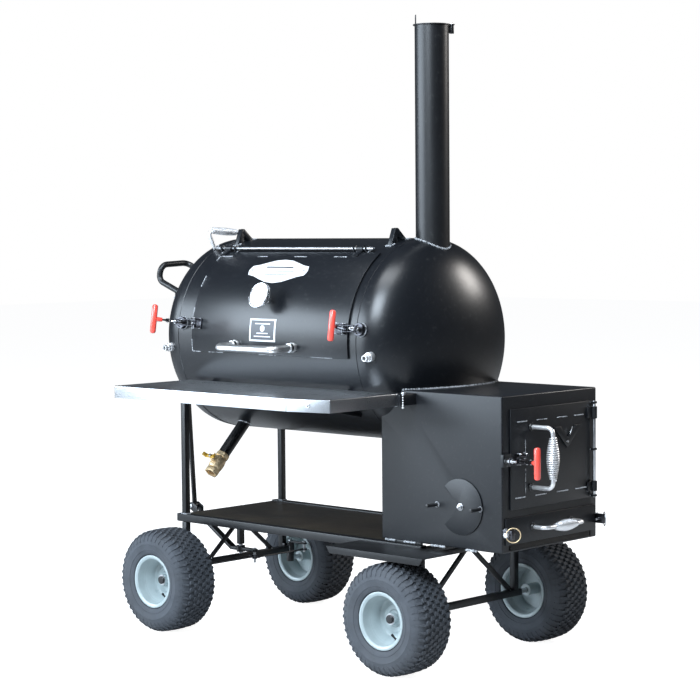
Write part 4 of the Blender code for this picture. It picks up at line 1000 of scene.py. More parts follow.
def build_clamp(name, place, base_body):
    """A hold-down clamp. In its own frame +X runs to the strike ring and +Z out of the surface."""
    lever_x, lever_z, arm_x, arm_z = -0.014, 0.012, -0.036, 0.024
    base = Piece(f"{name}_bracket")
    base.add(ZINC, block((-0.054, -0.021, 0), (-0.0042, 0.021, 0.004), 0.0010), place=place)
    for side in (-1, 1):
        outline = [(-0.050, 0.002), (-0.006, 0.002)]
        outline += arc((lever_x, lever_z), 0.0095, -20, 60, 8) + arc((arm_x, arm_z), 0.0095, 50, 190, 9)
        y = side * 0.0165
        base.add(ZINC, plate(outline, y - 0.0015, y + 0.0015, "Y", 0.0004), place=place)
        for x, z in ((lever_x, lever_z), (arm_x, arm_z)):
            head = rod((x, side * 0.0170, z), (x, side * 0.0205, z), 0.0048, tip=0.0030, sides=20)
            base.add(PIN, head, place=place)
        base.add(
            PIN, rod((arm_x, side * 0.0095, arm_z), (arm_x, side * 0.0175, arm_z), 0.0030), place=place
        )
        for x in (-0.046, -0.012):
            base.add(
                WELD,
                weld(
                    [
                        place @ Vector((x - 0.004, side * 0.0195, 0.0045)),
                        place @ Vector((x + 0.004, side * 0.0195, 0.0045)),
                    ],
                    0.0020,
                    0.003,
                ),
            )
    base.add(PIN, rod((lever_x, -0.0175, lever_z), (lever_x, 0.0175, lever_z), 0.0030), place=place)
    base.done(base_body, "dark_zinc", f"{name}_base")

    arm = Piece(f"{name}_jaw")
    for side in (-1, 1):
        y = side * 0.0112
        upper = [(0.046, 0.0392), (0.020, 0.0360), (-0.010, 0.0300)]
        outline = [(0.046, 0.0300), (0.062, 0.0305), (0.062, 0.0385)] + upper + arc(
            (arm_x, arm_z), 0.0068, 80, 280, 10
        ) + [(-0.010, 0.0190), (0.020, 0.0255)]
        bore = rod((arm_x, y - 0.01, arm_z), (arm_x, y + 0.01, arm_z), 0.0036, sides=16)
        arm.add(ZINC, carved(plate(outline, y - 0.0014, y + 0.0014, "Y", 0.0004), bore), place=place)
    arm.add(ZINC, block((0.043, -0.0120, 0.0290), (REACH + 0.009, 0.0120, 0.0325), 0.0012), place=place)
    thread = rod((REACH, 0, 0.0125), (REACH, 0, 0.0540), 0.0042, 0.0008, 20)
    arm.add(PIN, thread, place=place)
    for i in range(14):
        z = 0.0150 + i * 0.0028
        arm.add(
            PIN,
            turned(
                [(0.0040, -0.0009), (0.0048, 0), (0.0040, 0.0009)], (REACH, 0, z), steps=16, closed=True
            ),
            place=place,
        )
    for low in (0.0228, 0.0330):
        arm.add(PIN, rod((REACH, 0, low), (REACH, 0, low + 0.0058), 0.0085, 0.0008, 6), place=place)
    tip = [(0, 0.0058), (0.0075, 0.0058), (0.0090, 0.0075), (0.0088, 0.0125), (0.0060, 0.0150), (0, 0.0150)]
    arm.add(HUB, turned(tip, (REACH, 0, 0), steps=28), place=place)
    arm.done(f"{name}_arm", "dark_zinc", f"{name}_arm")

    lever = Piece(f"{name}_tee")
    start, end = Vector((lever_x, 0, lever_z)), Vector((REACH, 0, GRIP_HEIGHT - 0.003))
    split = start.lerp(end, 0.62)
    for side in (-1, 1):
        y = Vector((0, side * 0.0052, 0))
        cheek = bar(start + y, start.lerp(end, 0.70) + y, 0.014, 0.0026, (0, 0, 1), 0.0006)
        lever.add(ZINC, cheek, place=place)
        lever.add(
            ZINC,
            rod(start + y - Vector((0, 0.0013, 0)), start + y + Vector((0, 0.0013, 0)), 0.0066, 0.0004),
            place=place,
        )
        for share in (0.30, 0.66):
            spot = start.lerp(end, share) + y
            outward = Vector((0, side, 0))
            lever.add(
                PIN, rod(spot + outward * 0.0010, spot + outward * 0.0036, 0.0036, 0.0008, 16), place=place
            )
    lever.add(ZINC, bar(split, end, 0.0115, 0.0070, (0, 0, 1), 0.0012), place=place)
    lever.add(RED, rod(start.lerp(end, 0.80), end, 0.0078, 0.0015, tip=0.0095), place=place)
    grip = rod((REACH, -0.0565, GRIP_HEIGHT), (REACH, 0.0565, GRIP_HEIGHT), GRIP_RADIUS, 0.0085, 28)
    lever.add(RED, grip, place=place)
    lever.done(f"{name}_lever", "red_vinyl", f"{name}_lever")


# ---------------------------------------------------------------- things on the tank
def build_fittings():
    for name, x in (("left", -0.398), ("right", 0.427)):
        low, peak, back = Vector((x, -0.136, 1.508)), Vector((x, -0.108, 1.580)), Vector((x, -0.052, 1.530))
        stop = Piece(f"lid_rest_{name}")
        stop.add(BLACK, bar(low, peak + (peak - low).normalized() * 0.006, 0.022, 0.022, (1, 0, 0), 0.0022))
        stop.add(
            BLACK, bar(back, peak + (peak - back).normalized() * 0.004, 0.0225, 0.0215, (1, 0, 0), 0.0022)
        )
        for foot_y in (-0.136, -0.052):
            foot = [
                on_top(x + u, foot_y + v, 0.001)
                for u, v in (
                    (-0.012, -0.010), (0.012, -0.010), (0.012, 0.012), (-0.012, 0.012), (-0.012, -0.010)
                )
            ]
            stop.add(WELD, weld(foot, 0.0026, 0.004))
        stop.done("frame", "black_paint", f"lid_stop_{name}")

    for name, x in (("left", -0.527), ("right", 0.541)):
        y, z = on_tank(RADIUS - 0.014, -6.5)
        lean = Vector((0.10 if x > 0 else -0.10, -cos(radians(6.5)), -sin(radians(6.5)))).normalized()
        foot = Vector((x, y, z))
        port = Piece(f"probe_fitting_{name}")
        port.add(BRIGHT, rod(foot, foot + lean * 0.022, 0.0175, 0.0015, 32))
        port.add(BRIGHT, rod(foot + lean * 0.020, foot + lean * 0.032, 0.0165, 0.0018, 6))
        cup = [
            (0.0, 0.030), (0.0120, 0.030), (0.0120, 0.0450), (0.0110, 0.046), (0.0085, 0.046),
            (0.0075, 0.0400), (0, 0.0400),
        ]
        port.add(BRIGHT, turned(cup, foot, lean, 32))
        port.add(
            HUB, turned([(0, 0.0402), (0.0070, 0.0402), (0.0070, 0.0415), (0, 0.0415)], foot, lean, 24)
        )
        port.done("frame", "bright_plate", f"probe_port_{name}")

    x = -0.499
    path = [(x, -0.152, 1.490), (x, -0.1995, 1.586), (x, -0.030, 1.575), (x, 0.012, 1.535)]
    grab = Piece("coil_grab").add(BRIGHT, bent(path, 0.0075, 0.016, 20, 10))
    grab.add(
        BRIGHT,
        spring(
            (x, -0.182, 1.5849), (x, -0.044, 1.5761), 0.0026, 17, lambda s: 0.0100 + 0.0030 * sin(pi * s)
        ),
    )
    for y in (-0.152, 0.012):
        foot = on_top(x, y, 0.001)
        ring = [
            foot + Vector(
                (0.009 * cos(t * pi / 6), 0.009 * sin(t * pi / 6), -0.004 * sin(t * pi / 6) * (y / 0.152))
            )
            for t in range(13)
        ]
        grab.add(WELD, weld(ring, 0.0024, 0.004))
    grab.done("frame", "bright_plate", "grab_handle")

    path = [
        (-0.600, -0.238, 1.326), (-0.753, -0.240, 1.385), (-0.735, -0.240, 1.447), (-0.735, -0.098, 1.453),
        (-0.635, -0.088, 1.395),
    ]
    push = Piece("push_bow").add(FRAME_BLACK, bent(path, 0.0120, 0.030, 24, 12))
    push.add(
        FRAME_BLACK, bar((-0.628, -0.238, 1.335), (-0.628, -0.238, 1.275), 0.030, 0.030, (1, 0, 0), 0.003)
    )
    push.add(
        WELD,
        weld([(-0.645, -0.2535, 1.318), (-0.628, -0.2545, 1.300), (-0.621, -0.2545, 1.282)], 0.003, 0.004),
    )
    push.done("frame", "black_paint", "push_handle")


# ---------------------------------------------------------------- firebox
def build_firebox():
    shell = block((BOX_LEFT, -BOX_HALF, BOX_LOW), (BOX_RIGHT, BOX_HALF, BOX_HIGH), 0.0050, 3)
    room = block(
        (BOX_LEFT + WALL, -BOX_HALF + WALL, BOX_LOW + WALL),
        (BOX_RIGHT - WALL, BOX_HALF - WALL, BOX_HIGH - WALL),
        0,
    )
    door_way = block((BOX_RIGHT - 0.02, -0.190, 0.640), (BOX_RIGHT + 0.02, 0.190, 0.920), 0)
    drawer_way = block(
        (BOX_RIGHT - 0.02, -0.236, BOX_LOW + WALL + 0.0005), (BOX_RIGHT + 0.02, 0.236, 0.5665), 0
    )
    x, z = 0.881, 0.605
    sector = [(x, z - 0.014)] + arc((x, z), 0.084, -128, -52, 14)
    air_hole = plate(sector, -BOX_HALF - 0.02, -BOX_HALF + 0.02, "Y", 0)
    outer = []
    for i in range(25):
        turn = pi / 2 * i / 24
        outer.append((max((RADIUS - 0.001) * cos(turn), 0), HEAD_START + (HEAD_DEPTH - 0.001) * sin(turn)))
    outer[-1] = (0, outer[-1][1])
    dome = turned([(0, 0.40), (RADIUS - 0.001, 0.40), *outer], (0, 0, TANK_Z), (1, 0, 0), 96)
    box = Piece("firebox_body").add(BOX_BLACK, carved(shell, room, door_way, drawer_way, air_hole, dome))
    for y in (-0.258, 0.258):
        box.add(SOOT, block((0.530, y - 0.0115, 0.5925), (1.050, y + 0.0115, 0.5985)))
        side = 0.2655 if y > 0 else -0.2655
        box.add(
            FRAME_BLACK,
            block(
                (BOX_LEFT + 0.02, side - 0.006, RAIL_TOP + 0.0004),
                (0.690, side + 0.006, BOX_LOW + 0.002),
                0.001,
            ),
        )
    box.add(
        BOX_BLACK, block((BOX_RIGHT - 0.003, -0.279, 0.760), (DOOR_FACE + 0.0055, -0.2348, 0.804), 0.0020)
    )
    low, high = local("firebox_door")[0].z, local("firebox_door")[1].z
    box.add(PIN, rod((*HINGE_PIN, low), (*HINGE_PIN, high), 0.0060, 0.0012))
    for tab in (0.607, 0.777, 0.947):
        box.add(
            BOX_BLACK,
            block(
                (BOX_RIGHT - 0.003, HINGE_PIN.y - 0.008, tab),
                (HINGE_PIN.x + 0.008, HINGE_PIN.y + 0.008, tab + 0.008),
                0.0014,
            ),
        )
        spots = [
            (BOX_RIGHT + 0.001, HINGE_PIN.y - 0.009, tab + 0.004),
            (BOX_RIGHT + 0.001, HINGE_PIN.y + 0.010, tab + 0.004),
        ]
        box.add(WELD, weld([spots[1], spots[1]], 0.0040), weld([spots[0], spots[0]], 0.0035))
    box.add(HUB, rod((0.769, -BOX_HALF + 0.003, 0.604), (0.769, -BOX_HALF - 0.058, 0.604), 0.0065, 0.0012))
    box.add(
        WELD,
        weld(
            [
                (0.769 + 0.009 * cos(t * pi / 6), -BOX_HALF - 0.001, 0.604 + 0.009 * sin(t * pi / 6))
                for t in range(13)
            ],
            0.0022,
            0.004,
        ),
    )
    box.add(
        BOX_BLACK,
        block(
            (0.608, TABLE_HIGH.y + 0.0004, 0.9560),
            (TABLE_HIGH.x + 0.012, -BOX_HALF + 0.003, 0.9965),
            0.0020,
        ),
    )

    for start, end in ((0.520, 0.565), (0.612, 0.662), (0.742, 0.802), (0.905, 0.950)):
        spots = [
            (start + (end - start) * i / 9, -BOX_HALF - 0.0005 - 0.001 * (i % 2), BOX_LOW - 0.0008)
            for i in range(10)
        ]
        box.add(WELD, weld(spots, 0.0046, 0.0050))
    seam = []
    for i in range(61):
        y = -0.268 + 0.536 * i / 60
        drop = sqrt(max(0.0, 1 - ((y * y + (BOX_HIGH - TANK_Z) ** 2) / RADIUS**2)))
        seam.append((HEAD_START + HEAD_DEPTH * drop + 0.001, y, BOX_HIGH + 0.001))
    box.add(WELD, weld(seam, 0.0052, 0.0064))
    front = [(BOX_LEFT + 0.02 + 0.010 * i, -0.268 + 0.0010 * (i % 2), BOX_HIGH + 0.001) for i in range(4)]
    box.add(WELD, weld(front, 0.0044, 0.0060))
    corner = [
        (BOX_RIGHT - 0.001, -BOX_HALF + 0.001, BOX_LOW + 0.02 + (BOX_HIGH - BOX_LOW - 0.04) * i / 14)
        for i in range(15)
    ]
    for i in range(0, 14, 3):
        box.add(BOX_BLACK, weld(corner[i : i + 2], 0.0020, 0.0040))
    chain_top = Vector((TABLE_HIGH.x + 0.010, TABLE_HIGH.y + 0.020, 0.9975))
    box.add(
        PIN, rod(chain_top - Vector((0, 0, 0.003)), chain_top + Vector((0, 0, 0.006)), 0.0090, 0.0020, 6)
    )
    for i in range(6):
        bead = bmesh.new()
        spot = Vector((TABLE_HIGH.x + 0.0155, TABLE_HIGH.y + 0.012, 0.9940 - 0.0088 * i))
        bmesh.ops.create_uvsphere(
            bead,
            u_segments=12,
            v_segments=8,
            radius=0.0034 if i < 5 else 0.0048,
            matrix=Matrix.Translation(spot),
        )
        box.add(BRIGHT, bead)
    box.done("frame", "black_paint", "firebox_shell")


def coil_handle(name, start, end, out, wire, length, widest, body, node):
    start, end, out = Vector(start), Vector(end), Vector(out)
    along = (end - start).normalized()
    middle = (start + end) / 2 + out
    grip = Piece(name).add(BRIGHT, bent([start, start + out, end + out, end], wire, 0.024, 24, 12))
    spring_wire = 0.0030

    def winding(share):
        return wire + 0.0022 + (widest - wire - 0.0052) * sin(pi * share) ** 1.2

    turns = length / 0.0078
    grip.add(
        BRIGHT,
        spring(middle - along * length / 2, middle + along * length / 2, spring_wire, turns, winding),
    )
    normal = out.normalized()
    for foot in (start, end):
        boss = [
            (0, 0), (wire + 0.0062, 0), (wire + 0.0066, 0.0020), (wire + 0.0040, 0.0070), (wire, 0.0080),
            (0, 0.0080),
        ]
        grip.add(HUB, turned(boss, foot, normal, 32))
    grip.done(body, "bright_plate", node)


def build_door():
    low, high = local("firebox_door")[0].z, local("firebox_door")[1].z
    inner = BOX_RIGHT + 0.0005
    front, back = -0.2313, 0.2255
    door = Piece("firebox_door_leaf")
    door.add(BOX_BLACK, block((inner, front, low), (DOOR_FACE, back, high), 0.0016))
    door.add(SOOT, block((BOX_RIGHT - 0.022, -0.184, 0.646), (inner + 0.002, 0.184, 0.914), 0.0030))
    x, y = HINGE_PIN
    for z0, z1 in ((0.628, 0.664), (0.893, 0.936)):
        knuckle = turned(
            [(0.0110, z0), (0.0110, z1), (0.0068, z1), (0.0068, z0)], (x, y, 0), steps=32, closed=True
        )
        door.add(
            BOX_BLACK,
            knuckle,
            block(
                (DOOR_FACE - 0.002, back - 0.020, z0 + 0.002),
                (DOOR_FACE + 0.0055, y - 0.006, z1 - 0.002),
                0.0014,
            ),
        )
    tip, left, right = (0.085, 0.799), (0.006, 0.879), (0.172, 0.877)
    outline = [tip, right, (0.132, 0.877), (0.087, 0.836), (0.048, 0.877), left]
    door.add(BOX_BLACK, plate(outline, DOOR_FACE - 0.001, DOOR_FACE + 0.006, "X", 0.0014))
    face = DOOR_FACE + 0.0001
    top = [(-0.196, -0.142), (-0.084, -0.030), (0.032, 0.088), (0.134, 0.182)]
    for start, end in top:
        door.add(WELD, weld([(face, start, high - 0.046), (face, end, high - 0.046)], 0.0024, 0.0042))
    for start, end in ((-0.205, -0.150), (-0.092, -0.034), (0.030, 0.092), (0.140, 0.204)):
        door.add(WELD, weld([(face, start, low + 0.040), (face, end, low + 0.040)], 0.0026, 0.0042))
    for start, end in ((0.845, 0.800), (0.742, 0.700), (0.690, 0.655)):
        door.add(WELD, weld([(face, -0.150, start), (face, -0.150, end)], 0.0020, 0.0044))
    door.add(
        PIN, rod((DOOR_FACE + 0.0055, 0.085, 0.822), (DOOR_FACE + 0.0085, 0.085, 0.822), 0.0048, 0.001)
    )
    door.add(
        PIN,
        bar(
            (DOOR_FACE + 0.0068, 0.112, 0.872),
            (DOOR_FACE + 0.0068, 0.098, 0.846),
            0.0036,
            0.0022,
            (0, 1, 0),
            0.0006,
        ),
    )
    door.done("firebox_door", "black_paint", "firebox_door")
    foot = DOOR_FACE + 0.0004
    coil_handle(
        "door_coil_pull", (foot, -0.1177, 0.889), (
            foot, -0.1177, 0.676
        ), (0.096, 0, 0), 0.0080, 0.150, 0.0240,
        "firebox_door", "firebox_door_handle",
    )  # fmt: skip


def build_damper():
    x, z = 0.881, 0.605
    face = -BOX_HALF - 0.0004
    outline = arc((x, z), 0.100, -139, 139, 60) + arc((x, z), 0.016, 139, 221, 8)
    damper = Piece("air_disc").add(BOX_BLACK, plate(outline, face - 0.005, face, "Y", 0.0010))
    damper.add(PIN, rod((x, -BOX_HALF + 0.012, z), (x, face - 0.020, z), 0.0045, 0.0010, 20))
    damper.add(PIN, rod((x, face - 0.0045, z), (x, face - 0.0062, z), 0.0130, 0.0005, 28))
    damper.add(PIN, rod((x, face - 0.0060, z), (x, face - 0.013, z), 0.0105, 0.0012, 6))
    knob = x + 0.092
    damper.add(HUB, rod((knob, face - 0.003, z), (knob, face - 0.060, z), 0.0065, 0.0012))
    damper.add(
        WELD,
        weld(
            [
                (knob + 0.009 * cos(t * pi / 6), face - 0.0056, z + 0.009 * sin(t * pi / 6))
                for t in range(13)
            ],
            0.0020,
            0.004,
        ),
    )
    damper.done("air_damper", "black_paint", "air_damper")


def build_drawer():
    inner = BOX_RIGHT + 0.0005
    face = inner + 0.006
    low, high, half, pin_x, pin_z, right = 0.4835, 0.5765, 0.258, 1.0915, 0.525, 1.110
    drawer = Piece("ash_tray")
    tray = block((0.560, -0.228, 0.4635), (inner + 0.002, 0.228, 0.5600), 0.0020)
    room = block((0.564, -0.224, 0.4675), (inner - 0.003, 0.224, 0.5700), 0.0)
    drawer.add(SOOT, carved(tray, room))
    drawer.add(BOX_BLACK, block((inner, -half, low), (face, half, high), 0.0016))
    for side in (-1, 1):
        near, far = sorted((side * (half - 0.0035), side * 0.272))
        lug = block((inner + 0.001, near, pin_z - 0.017), (right, far, pin_z + 0.017), 0.0022)
        hole = rod((pin_x, side * 0.24, pin_z), (pin_x, side * 0.29, pin_z), 0.0050)
        drawer.add(ZINC, carved(lug, hole))
        drawer.add(
            WELD,
            weld(
                [(face + 0.001, near + 0.002, pin_z + 0.018), (face + 0.001, far - 0.002, pin_z + 0.018)],
                0.0022,
                0.004,
            ),
        )
    drawer.done("ash_drawer", "black_paint", "ash_drawer")
    foot = face + 0.0004
    coil_handle(
        "drawer_coil_pull", (foot, -0.110, 0.535), (
            foot, 0.110, 0.535
        ), (0.062, 0, 0), 0.0070, 0.120, 0.0210,
        "ash_drawer", "ash_drawer_handle",
    )  # fmt: skip
    for name, side in (("front", -1), ("back", 1)):
        pin = Piece(f"drawer_pin_{name}")
        pin.add(PIN, rod((pin_x, side * 0.236, pin_z), (pin_x, side * 0.276, pin_z), 0.0042, 0.0016, 24))
        start = side * 0.2724
        pin.add(
            BRIGHT, rod((pin_x, start, pin_z), (pin_x, start + side * 0.0145, pin_z), 0.0085, 0.0022, 24)
        )
        section = arc((0.02525, 0.0), 0.0019, 0, 330, 11)
        pin.add(
            BRASS if side < 0 else PIN,
            turned(section, (right, side * 0.264, pin_z), (1, side, 0), 64, closed=True),
        )
        pin.done(f"linch_pin_{name}", "dark_zinc", f"linch_pin_{name}")


# ---------------------------------------------------------------- table
def build_table():
    low, high = TABLE_LOW, TABLE_HIGH
    corner_x, corner_y = high.x - 0.1765, low.y + 0.0390
    outline = [(low.x, high.y), (low.x, low.y), (corner_x, low.y), (high.x, corner_y), (high.x, high.y)]
    bm = bmesh.new()
    verts = [bm.verts.new((x, y, high.z)) for x, y in outline]
    bm.faces.new(verts)
    bm.edges.ensure_lookup_table()
    folds = [bm.edges.get((verts[i], verts[i + 1])) for i in range(4)]
    grown = bmesh.ops.extrude_edge_only(bm, edges=folds)["geom"]
    bmesh.ops.translate(
        bm, vec=(0, 0, low.z - high.z), verts=[g for g in grown if isinstance(g, bmesh.types.BMVert)]
    )
    bm.normal_update()
    bmesh.ops.recalc_face_normals(bm, faces=bm.faces)
    ease(bm, corners(bm, 15), 0.0030, 4)
    middle = Vector((0.1, -0.5, high.z - 0.03))
    thicken(bm, 0.0020, middle)
    table = Piece("front_shelf").add(TABLE, bm)
    hem = 0.012
    for start, end in (
        ((low.x, high.y), (low.x, low.y)),
        ((low.x, low.y), (corner_x, low.y)),
        ((corner_x, low.y), (high.x, corner_y)),
        ((high.x, corner_y), (high.x, high.y)),
    ):
        one, two = Vector((*start, low.z + 0.001)), Vector((*end, low.z + 0.001))
        along = (two - one).normalized()
        inward = Vector((0, 0, 1)).cross(along)
        if inward.dot(middle - one) < 0:
            inward = -inward
        shift = inward * (hem / 2 + 0.001)
        table.add(
            TABLE, bar(one + shift + along * hem, two + shift - along * hem, 0.002, hem, (0, 0, 1), 0.0006)
        )
    spot = Vector(((corner_x + high.x) / 2, (low.y + corner_y) / 2, high.z - 0.023))
    out = Vector((corner_y - low.y, -(high.x - corner_x), 0)).normalized()
    table.add(BRIGHT, rod(spot - out * 0.001, spot + out * 0.0035, 0.0085, 0.0025, 32))
    # The dark hexagon is painted shade: it stands for the shaded hex socket in the bolt head, which is not cut.
    table.add(DIAL_MARKS_AND_SOCKET_SHADE, rod(spot + out * 0.0030, spot + out * 0.0040, 0.0030, 0, 6))
    for x, y in ((corner_x, low.y), (high.x, corner_y)):
        table.add(
            INK,
            bar(
                (x, y - 0.0003, low.z + 0.001),
                (x, y - 0.0003, high.z - 0.004),
                0.0012,
                0.0010,
                (1, 0, 0),
                0,
            ),
        )
    table.done("frame", "stainless", "front_table")


# ---------------------------------------------------------------- chassis
def build_chassis():
    left, right = local("chassis_frame")[0].x, local("chassis_frame")[1].x
    half, outer = 0.016, 0.2835
    chassis = Piece("chassis_rails")
    for side in (-1, 1):
        y = side * (outer - half)
        rail = block((left, y - half, RAIL_LOW), (right, y + half, RAIL_TOP), 0.0035, 3)
        hollow = block(
            (left - 0.01, y - half + 0.003, RAIL_LOW + 0.003),
            (right + 0.01, y + half - 0.003, RAIL_TOP - 0.003),
            0.0,
        )
        chassis.add(FRAME_BLACK, carved(rail, hollow))
    inner = outer - 2 * half + 0.003
    for x in (left + 0.018, LEFT_AXLE, -0.02, 0.460, RIGHT_AXLE):
        chassis.add(
            FRAME_BLACK,
            block((x - 0.014, -inner, RAIL_LOW + 0.001), (x + 0.014, inner, RAIL_TOP - 0.009), 0.0025),
        )
        for side in (-1, 1):
            y = side * (outer - 2 * half - 0.0005)
            chassis.add(
                WELD,
                weld([(x - 0.012, y, RAIL_LOW - 0.0002), (x + 0.012, y, RAIL_LOW - 0.0002)], 0.0026, 0.004),
            )
    chassis.done("frame", "black_paint", "chassis_frame")

    wide = outer - 2 * half - 0.0004
    low, high = local("shelf_plate")[0].z, local("shelf_plate")[1].z
    shelf = Piece("lower_shelf").add(
        SHELF, block((left + 0.004, -wide, low), (BOX_LEFT - 0.002, wide, high), 0.0010)
    )
    shelf.done("frame", "bare_steel", "shelf_plate")

    for name, side in (("front", -1), ("back", 1)):
        x, y, half = -0.570, side * 0.271, 0.0125
        top = TANK_Z - sqrt(tank_radius_at(x) ** 2 - 0.2585**2)
        leg = Piece(f"post_{name}").add(
            FRAME_BLACK,
            block((x - half, y - half, RAIL_TOP + 0.0004), (x + half, y + half, top), 0.0028, 3),
        )
        foot = [
            (x + u, y + v, RAIL_TOP + 0.001) for u, v in ((-0.013, -0.013), (0.013, -0.013), (0.013, 0.012))
        ]
        leg.add(WELD, weld(foot, 0.0030, 0.0042))
        leg.done("frame", "black_paint", f"leg_{name}")

    fender = Piece("wheel_guard")
    fender.add(
        FRAME_BLACK,
        block((0.402, -0.465, RAIL_TOP - 0.010), (0.866, -outer - 0.0004, RAIL_TOP - 0.007), 0.0008),
    )
    flange = [
        (0.402, RAIL_TOP - 0.0080),
        (0.418, RAIL_TOP - 0.032),
        (0.850, RAIL_TOP - 0.032),
        (0.866, RAIL_TOP - 0.0080),
    ]
    fender.add(FRAME_BLACK, plate(flange, -0.465, -0.462, "Y", 0.0010))
    fender.done("frame", "black_paint", "fender_plate")


def build_axles():
    top = RAIL_LOW - 0.0004
    x, z = RIGHT_AXLE, WHEEL_RADIUS
    rear = Piece("rear_axle_set")
    rear.add(PIN, rod((x, -0.4344, z), (x, 0.4344, z), 0.0095, 0.0015))
    rear.add(FRAME_BLACK, block((x - 0.0135, -0.300, z - 0.0125), (x + 0.0135, 0.300, z + 0.0125), 0.0025))
    rear.add(
        FRAME_BLACK, block((x - 0.0120, -0.268, top - 0.020), (x + 0.0120, 0.268, top - 0.0005), 0.0020)
    )
    for side in (-1, 1):
        y = side * 0.268
        rear.add(FRAME_BLACK, block((x - 0.0125, y - 0.0125, z), (x + 0.0125, y + 0.0125, top), 0.0025))
        low_end, high_end = (x, side * 0.250, z + 0.006), (x, side * 0.012, top - 0.008)
        rear.add(FRAME_BLACK, bar(low_end, high_end, 0.0115, 0.018, (1, 0, 0), 0.0018))
        rear.add(
            WELD,
            weld(
                [(x - 0.010, side * 0.236, z + 0.0130), (x + 0.008, side * 0.236, z + 0.0130)],
                0.0030,
                0.004,
            ),
        )
    rear.done("frame", "black_paint", "rear_axle")

    x, low, high = LEFT_AXLE, 0.232, 0.257
    front = Piece("front_axle_set")
    front.add(FRAME_BLACK, block((x - 0.0125, -0.282, low), (x + 0.0125, 0.282, high), 0.0025))
    for side in (-1, 1):
        post_y, gusset_y, pin_y = side * 0.271, side * 0.2655, side * 0.2875
        front.add(
            FRAME_BLACK, block((-0.5825, post_y - 0.0125, 0.2505), (-0.5575, post_y + 0.0125, top), 0.0025)
        )
        front.add(
            FRAME_BLACK,
            block((-0.5820, gusset_y - 0.0065, 0.2495), (x - 0.006, gusset_y + 0.0065, 0.2660), 0.0015),
        )
        eye = turned(
            [(0.0170, 0.2225), (0.0170, 0.2665), (0.0098, 0.2665), (0.0098, 0.2225)],
            (x, pin_y, 0),
            steps=36,
            closed=True,
        )
        front.add(FRAME_BLACK, eye)
        brace = bar(
            (x, side * 0.180, high - 0.006),
            (x, side * 0.010, top - 0.020),
            0.0115,
            0.016,
            (1, 0, 0),
            0.0018,
        )
        front.add(FRAME_BLACK, brace)
        front.add(
            WELD,
            weld(
                [(x - 0.008, side * 0.171, high + 0.001), (x + 0.008, side * 0.171, high + 0.001)],
                0.0028,
                0.004,
            ),
        )
        front.add(
            WELD,
            weld(
                [(x + 0.012, side * 0.271, low + 0.004), (x + 0.012, side * 0.271, high - 0.002)],
                0.0026,
                0.004,
            ),
        )
    front.add(FRAME_BLACK, block((x - 0.0110, -0.0125, 0.2960), (x + 0.0110, 0.0125, top), 0.0020))
    front.add(PIN, rod((x, 0, high - 0.004), (x, 0, 0.300), 0.0080))
    front.done("frame", "black_paint", "front_axle")


